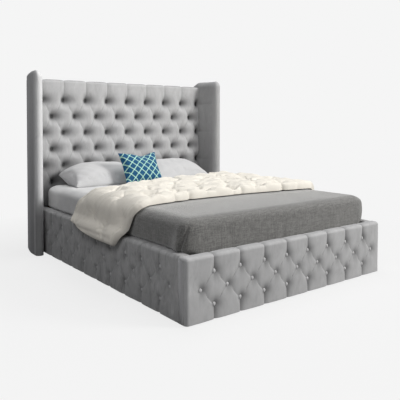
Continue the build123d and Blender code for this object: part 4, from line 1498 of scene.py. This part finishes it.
@dataclass
class Pillows:
    """Two white pillows and the blue throw cushion, filled by a cloth simulation."""

    width: float = 0.678
    depth: float = 0.385
    fill_height: float = 0.206
    slack: float = 0.012
    middle_x: float = 0.355
    lie_z: float = 0.5412
    back_y: float = 0.984
    seam_z: Point2 = (0.014, 0.112)
    throw_size: Point2 = (0.386, 0.316)
    throw_fill: float = 0.098
    throw_slack: float = 0.008
    throw_x: float = -0.112
    throw_foot: float = 0.492
    throw_lean: float = 30.0
    dent: float = 0.026
    dent_x: float = 0.035
    dent_reach: float = 0.075

    @staticmethod
    def slip(size: Point2, thickness: float, draw: float, count: tuple[int, int],
             flat: Point2 = (2.6, 0.62)) -> Array:
        """Shape a filled case lying flat: crowned, its sides drawn in between the corners.

        Args:
            size: width and depth of the case.
            thickness: how full its middle is.
            draw: how far the sides are drawn in.
            count: points across and along.
            flat: how flat the crown runs to the ends, as two powers.

        Returns:
            Rows of closed rings round the case.
        """
        a, b = (np.sin(np.linspace(-QUARTER, QUARTER, number)) for number in count)
        a = a[:, None]
        x = a * size[0] / 2 * (1 - draw / size[0] * 2 * (1 - b * b))
        y = b * size[1] / 2 * (1 - draw / size[1] * 2 * (1 - a * a))
        crown = (1 - np.abs(a) ** flat[0]) ** flat[1] * (1 - np.abs(b) ** 2.4) ** 0.62
        rise = thickness / 2 * crown + 0.002
        upper, lower = (np.stack([x, y, sign * rise], axis=2) for sign in (1, -1))
        return np.concatenate([upper, lower[:, ::-1]], axis=1)

    @staticmethod
    def fill(piece: Piece, voxel: float, pressure: float, cap: float) -> None:
        """Let the case fill as cloth under pressure, held to a small movement.

        Args:
            piece: the case.
            voxel: the remesh size.
            pressure: the filling's pressure.
            cap: the most that a point may move.
        """
        take(piece)
        remesh = piece.modifiers.new("even", "REMESH")
        remesh.mode, remesh.voxel_size = "VOXEL", voxel
        bpy.ops.object.modifier_apply(modifier=remesh.name)
        start = points_of(piece)
        cloth = piece.modifiers.new("cloth", "CLOTH")
        values = {"use_pressure": True, "uniform_pressure_force": pressure, "quality": 5, "mass": 0.2,
                  "tension_stiffness": 12, "bending_stiffness": 0.3}
        for key, value in values.items():
            setattr(cloth.settings, key, value)
        cloth.settings.effector_weights.gravity = 0
        scene = bpy.context.scene
        for number in range(1, 21):
            scene.frame_set(number)
        bpy.ops.object.modifier_apply(modifier=cloth.name)
        scene.frame_set(1)
        step = points_of(piece) - start
        length = np.linalg.norm(step, axis=1)
        place_points(piece, start + step * np.minimum(1, cap / np.maximum(length, 1e-9))[:, None])
        turn_out(piece)

    def pillow(self, side: Side) -> None:
        """Make one pillow, slumped against the headboard."""
        name = f"{side.name.lower()}_pillow"
        piece = knit(f"{name}_cotton", self.slip((self.width - self.slack, self.depth - self.slack),
                                                 self.fill_height, 0.018, (64, 40), (3.8, 0.60)))
        self.fill(piece, 0.007, 3.0, 0.010)
        seed = 3.0 + side.value
        half_depth = self.depth / 2

        def slump(points: Array) -> Array:
            """Raise the back seam, flatten the underside on the sheet and crease the cover."""
            x, y, z = points.T
            back = (1 + np.clip(y / half_depth, -1, 1)) / 2
            end = unit(1 - np.abs(x) / (self.width / 2))
            seam = self.seam_z[0] + self.seam_z[1] * back**1.5 * (0.24 + 0.76 * end**0.24)
            folds = 0.0022 * wobble(points, 0.12, seed, (1.0, 1.4, 0.5))
            folds += 0.0050 * wobble(points, 0.31, seed + 4, (0.6, 1.0, 0.4))
            creases = 0.006 * (1 - np.abs(wobble(points, 0.20, seed + 9, (1.6, 0.5, 0.3))))
            folds += creases * unit(1 - end / 0.30)
            tall = seam + z + folds * unit(z / 0.03)
            rear = np.minimum(y + 0.012 * unit(-z / 0.05), half_depth)
            return np.stack([x + side.value * self.middle_x, rear + self.back_y - half_depth,
                             np.maximum(tall, 0.0006 * (1 - z / 0.1)) + self.lie_z], axis=1)

        settle(piece, slump)
        dress(piece, PILLOW_COTTON_PAINTED_SHADE.make(), "white_cotton", name)

    def throw(self) -> None:
        """Make the throw cushion, leaning back on the pillows."""
        width, height = self.throw_size
        size = (width - self.throw_slack, height - self.throw_slack)
        piece = knit("throw_cushion_weave", self.slip(size, self.throw_fill, 0.012, (52, 44)))
        self.fill(piece, 0.005, 4.0, 0.008)
        points = points_of(piece)
        points[:, 2] += 0.0016 * wobble(points, 0.12, 5.0)
        plan = piece.data.attributes.new("plan", "FLOAT_VECTOR", "POINT")
        plan.data.foreach_set("vector", points.astype(np.float32).ravel())

        def stand(_: Array) -> Array:
            """Dent the top, lean the cushion back and set it on the sheet."""
            x, y, z = points.T
            dent = hill(x - self.dent_x, self.dent_reach) * unit((y + 0.02) / (height / 2)) ** 1.5
            along, out = y - self.dent * dent + height / 2, z * (1 - 0.35 * dent)
            lean = math.radians(self.throw_lean)
            return np.stack([
                x + self.throw_x,
                self.throw_foot + along * math.sin(lean) - out * math.cos(lean),
                np.maximum(along * math.cos(lean) + out * math.sin(lean), 0.0) + self.lie_z + 0.0006], axis=1)

        settle(piece, stand)
        dress(piece, TRELLIS.make(), "blue_weave", "throw_cushion")

    def build(self) -> None:
        """Make both pillows and the throw cushion."""
        for side in Side:
            self.pillow(side)
        self.throw()


@dataclass(frozen=True)
class Carcass:
    """The hidden timber, boards, slats, plastic caps, steel and glides that come from the CAD."""

    finishes: tuple = (
        (PINE, ("headboard_left_post", "headboard_right_post", "headboard_upper_stile",
                "headboard_lower_stile", "left_wing_batten", "right_wing_batten", "centre_leg_front",
                "centre_leg_middle", "centre_leg_rear")),
        (PINE_ALONG_X, ("headboard_top_rail", "headboard_middle_rail", "headboard_lower_rail")),
        (PINE_ALONG_Y, ("left_ledger", "right_ledger", "centre_beam")),
        (BOARD, ("headboard_panel", "left_wing_core", "right_wing_core", "left_rail_core", "right_rail_core",
                 "footboard_core")),
        (BEECH, ("left_slats", "right_slats")),
        (CAP_PLASTIC, ("left_slat_caps", "right_slat_caps", "centre_slat_caps")),
        (STEEL, ("corner_brackets", "beam_hangers")),
        (FELT, ("floor_glides",)),
        (BACK_CLOTH, ("headboard_back_cover",)),
    )

    def build(self) -> None:
        """Give each carried-over node its material."""
        for finish, names in self.finishes:
            material = finish.make()
            for name in names:
                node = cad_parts[name]
                node.data.materials.clear()
                node.data.materials.append(material)
                log.info("node %s, %s", name, finish.name)


@dataclass
class Studio:
    """Camera, soft lights, pale floor and white surround."""

    place: Colour = (-2.4033, -3.2414, 1.0549)
    yaw: float = 37.4935
    pitch: float = 1.5
    lens: float = 46.70
    shift: float = -0.1569
    pale: Colour = (0.913, 0.913, 0.913)
    ambient: Colour = (0.075, 0.076, 0.079)
    bounce: Colour = (0.30, 0.30, 0.30)
    fade_from: float = 1.2
    fade_to: float = 2.8
    near_glow: float = 0.85
    floor_radius: float = 30.0

    def camera(self) -> None:
        """Stand the camera where the photo was taken."""
        data = bpy.data.cameras.new("camera")
        data.lens, data.sensor_width, data.sensor_fit = self.lens, 36.0, "HORIZONTAL"
        data.shift_y = self.shift
        data.clip_end = 60
        holder = link("camera", data)
        holder.location = self.place
        holder.rotation_euler = (math.radians(90 - self.pitch), 0, math.radians(-self.yaw))
        bpy.context.scene.camera = holder

    @staticmethod
    def lamp(name: str, place: Colour, aim: Colour, size: float, power: float,
             tint: Colour = (1, 1, 1)) -> None:
        """Hang one soft square lamp, aimed at a point."""
        data = bpy.data.lights.new(name, "AREA")
        data.size, data.energy, data.color = size, power, tint
        holder = link(name, data)
        holder.location = place
        holder.rotation_euler = (Vector(aim) - Vector(place)).to_track_quat("-Z", "Y").to_euler()

    def surround(self) -> None:
        """Lay the floor, and make the surround white to the camera alone."""
        world = bpy.data.worlds.new("studio")
        bpy.context.scene.world = world
        world.use_nodes = True
        tree = world.node_tree
        paths = tree.nodes.new("ShaderNodeLightPath")
        mix = tree.nodes.new("ShaderNodeMix")
        mix.data_type = "RGBA"
        tree.links.new(paths.outputs["Is Camera Ray"], mix.inputs[0])
        mix.inputs[6].default_value = (*self.ambient, 1)
        mix.inputs[7].default_value = (*self.pale, 1)
        tree.links.new(mix.outputs[2], tree.nodes["Background"].inputs["Color"])
        take()
        bpy.ops.mesh.primitive_circle_add(vertices=96, radius=self.floor_radius, fill_type="NGON",
                                          location=(0, 0, 0))
        floor = bpy.context.object
        floor.name = "studio_floor"
        floor.data.materials.append(self.floor_material())

    def floor_material(self) -> bpy.types.Material:
        """Make a pale floor that fades into the surround away from the bed."""
        nodes = Nodes("studio_floor")
        glow = nodes.add("ShaderNodeEmission", {"Color": self.pale})
        seen = nodes.add("ShaderNodeLightPath", {}).outputs["Is Camera Ray"]
        length = nodes.add("ShaderNodeVectorMath", {0: nodes.coords.outputs["Object"]}, operation="LENGTH")
        far = nodes.add("ShaderNodeMapRange", {
            "Value": length.outputs["Value"], "From Min": self.fade_from, "From Max": self.fade_to,
            "To Min": self.near_glow, "To Max": 1.0})
        share = nodes.math("MULTIPLY", far.outputs["Result"], seen)
        speck = nodes.noise(nodes.place(), 60, 3)
        colour = nodes.ramp(speck, (0.3, (0.84, 0.84, 0.84)), (0.7, (0.87, 0.87, 0.87)))
        nodes.feed(nodes.shader.inputs["Base Color"], nodes.mix(seen, self.bounce, colour))
        nodes.feed(nodes.shader.inputs["Roughness"], 0.9)
        mix = nodes.add("ShaderNodeMixShader", {0: share, 1: nodes.shader.outputs[0], 2: glow.outputs[0]})
        nodes.feed(nodes.tree.nodes["Material Output"].inputs["Surface"], mix.outputs[0])
        return nodes.material

    def build(self) -> None:
        """Set camera, lights and floor."""
        self.camera()
        self.surround()
        self.lamp("key", (5.2, -6.2, 4.4), (0, 0.3, 0.6), 2.4, 660, (1, 0.99, 0.97))
        self.lamp("top", (0.5, 0.2, 4.2), (0, 0.1, 0.4), 2.4, 78)
        self.lamp("fill", (-3.2, -2.0, 3.3), (-0.9, 0.0, 0.6), 2.0, 50, (0.99, 0.99, 1))
        bpy.context.scene.view_settings.view_transform = "Standard"


def main() -> None:
    """Build every sub-assembly in order."""
    logging.basicConfig(level=logging.INFO, format="%(message)s")
    for assembly in (Studio(), Headboard(), Wing(Side.LEFT), Wing(Side.RIGHT), LowPanels(), Bedding(),
                     Comforter(), Pillows(), Carcass()):
        assembly.build()


if __name__ == "__main__":
    main()
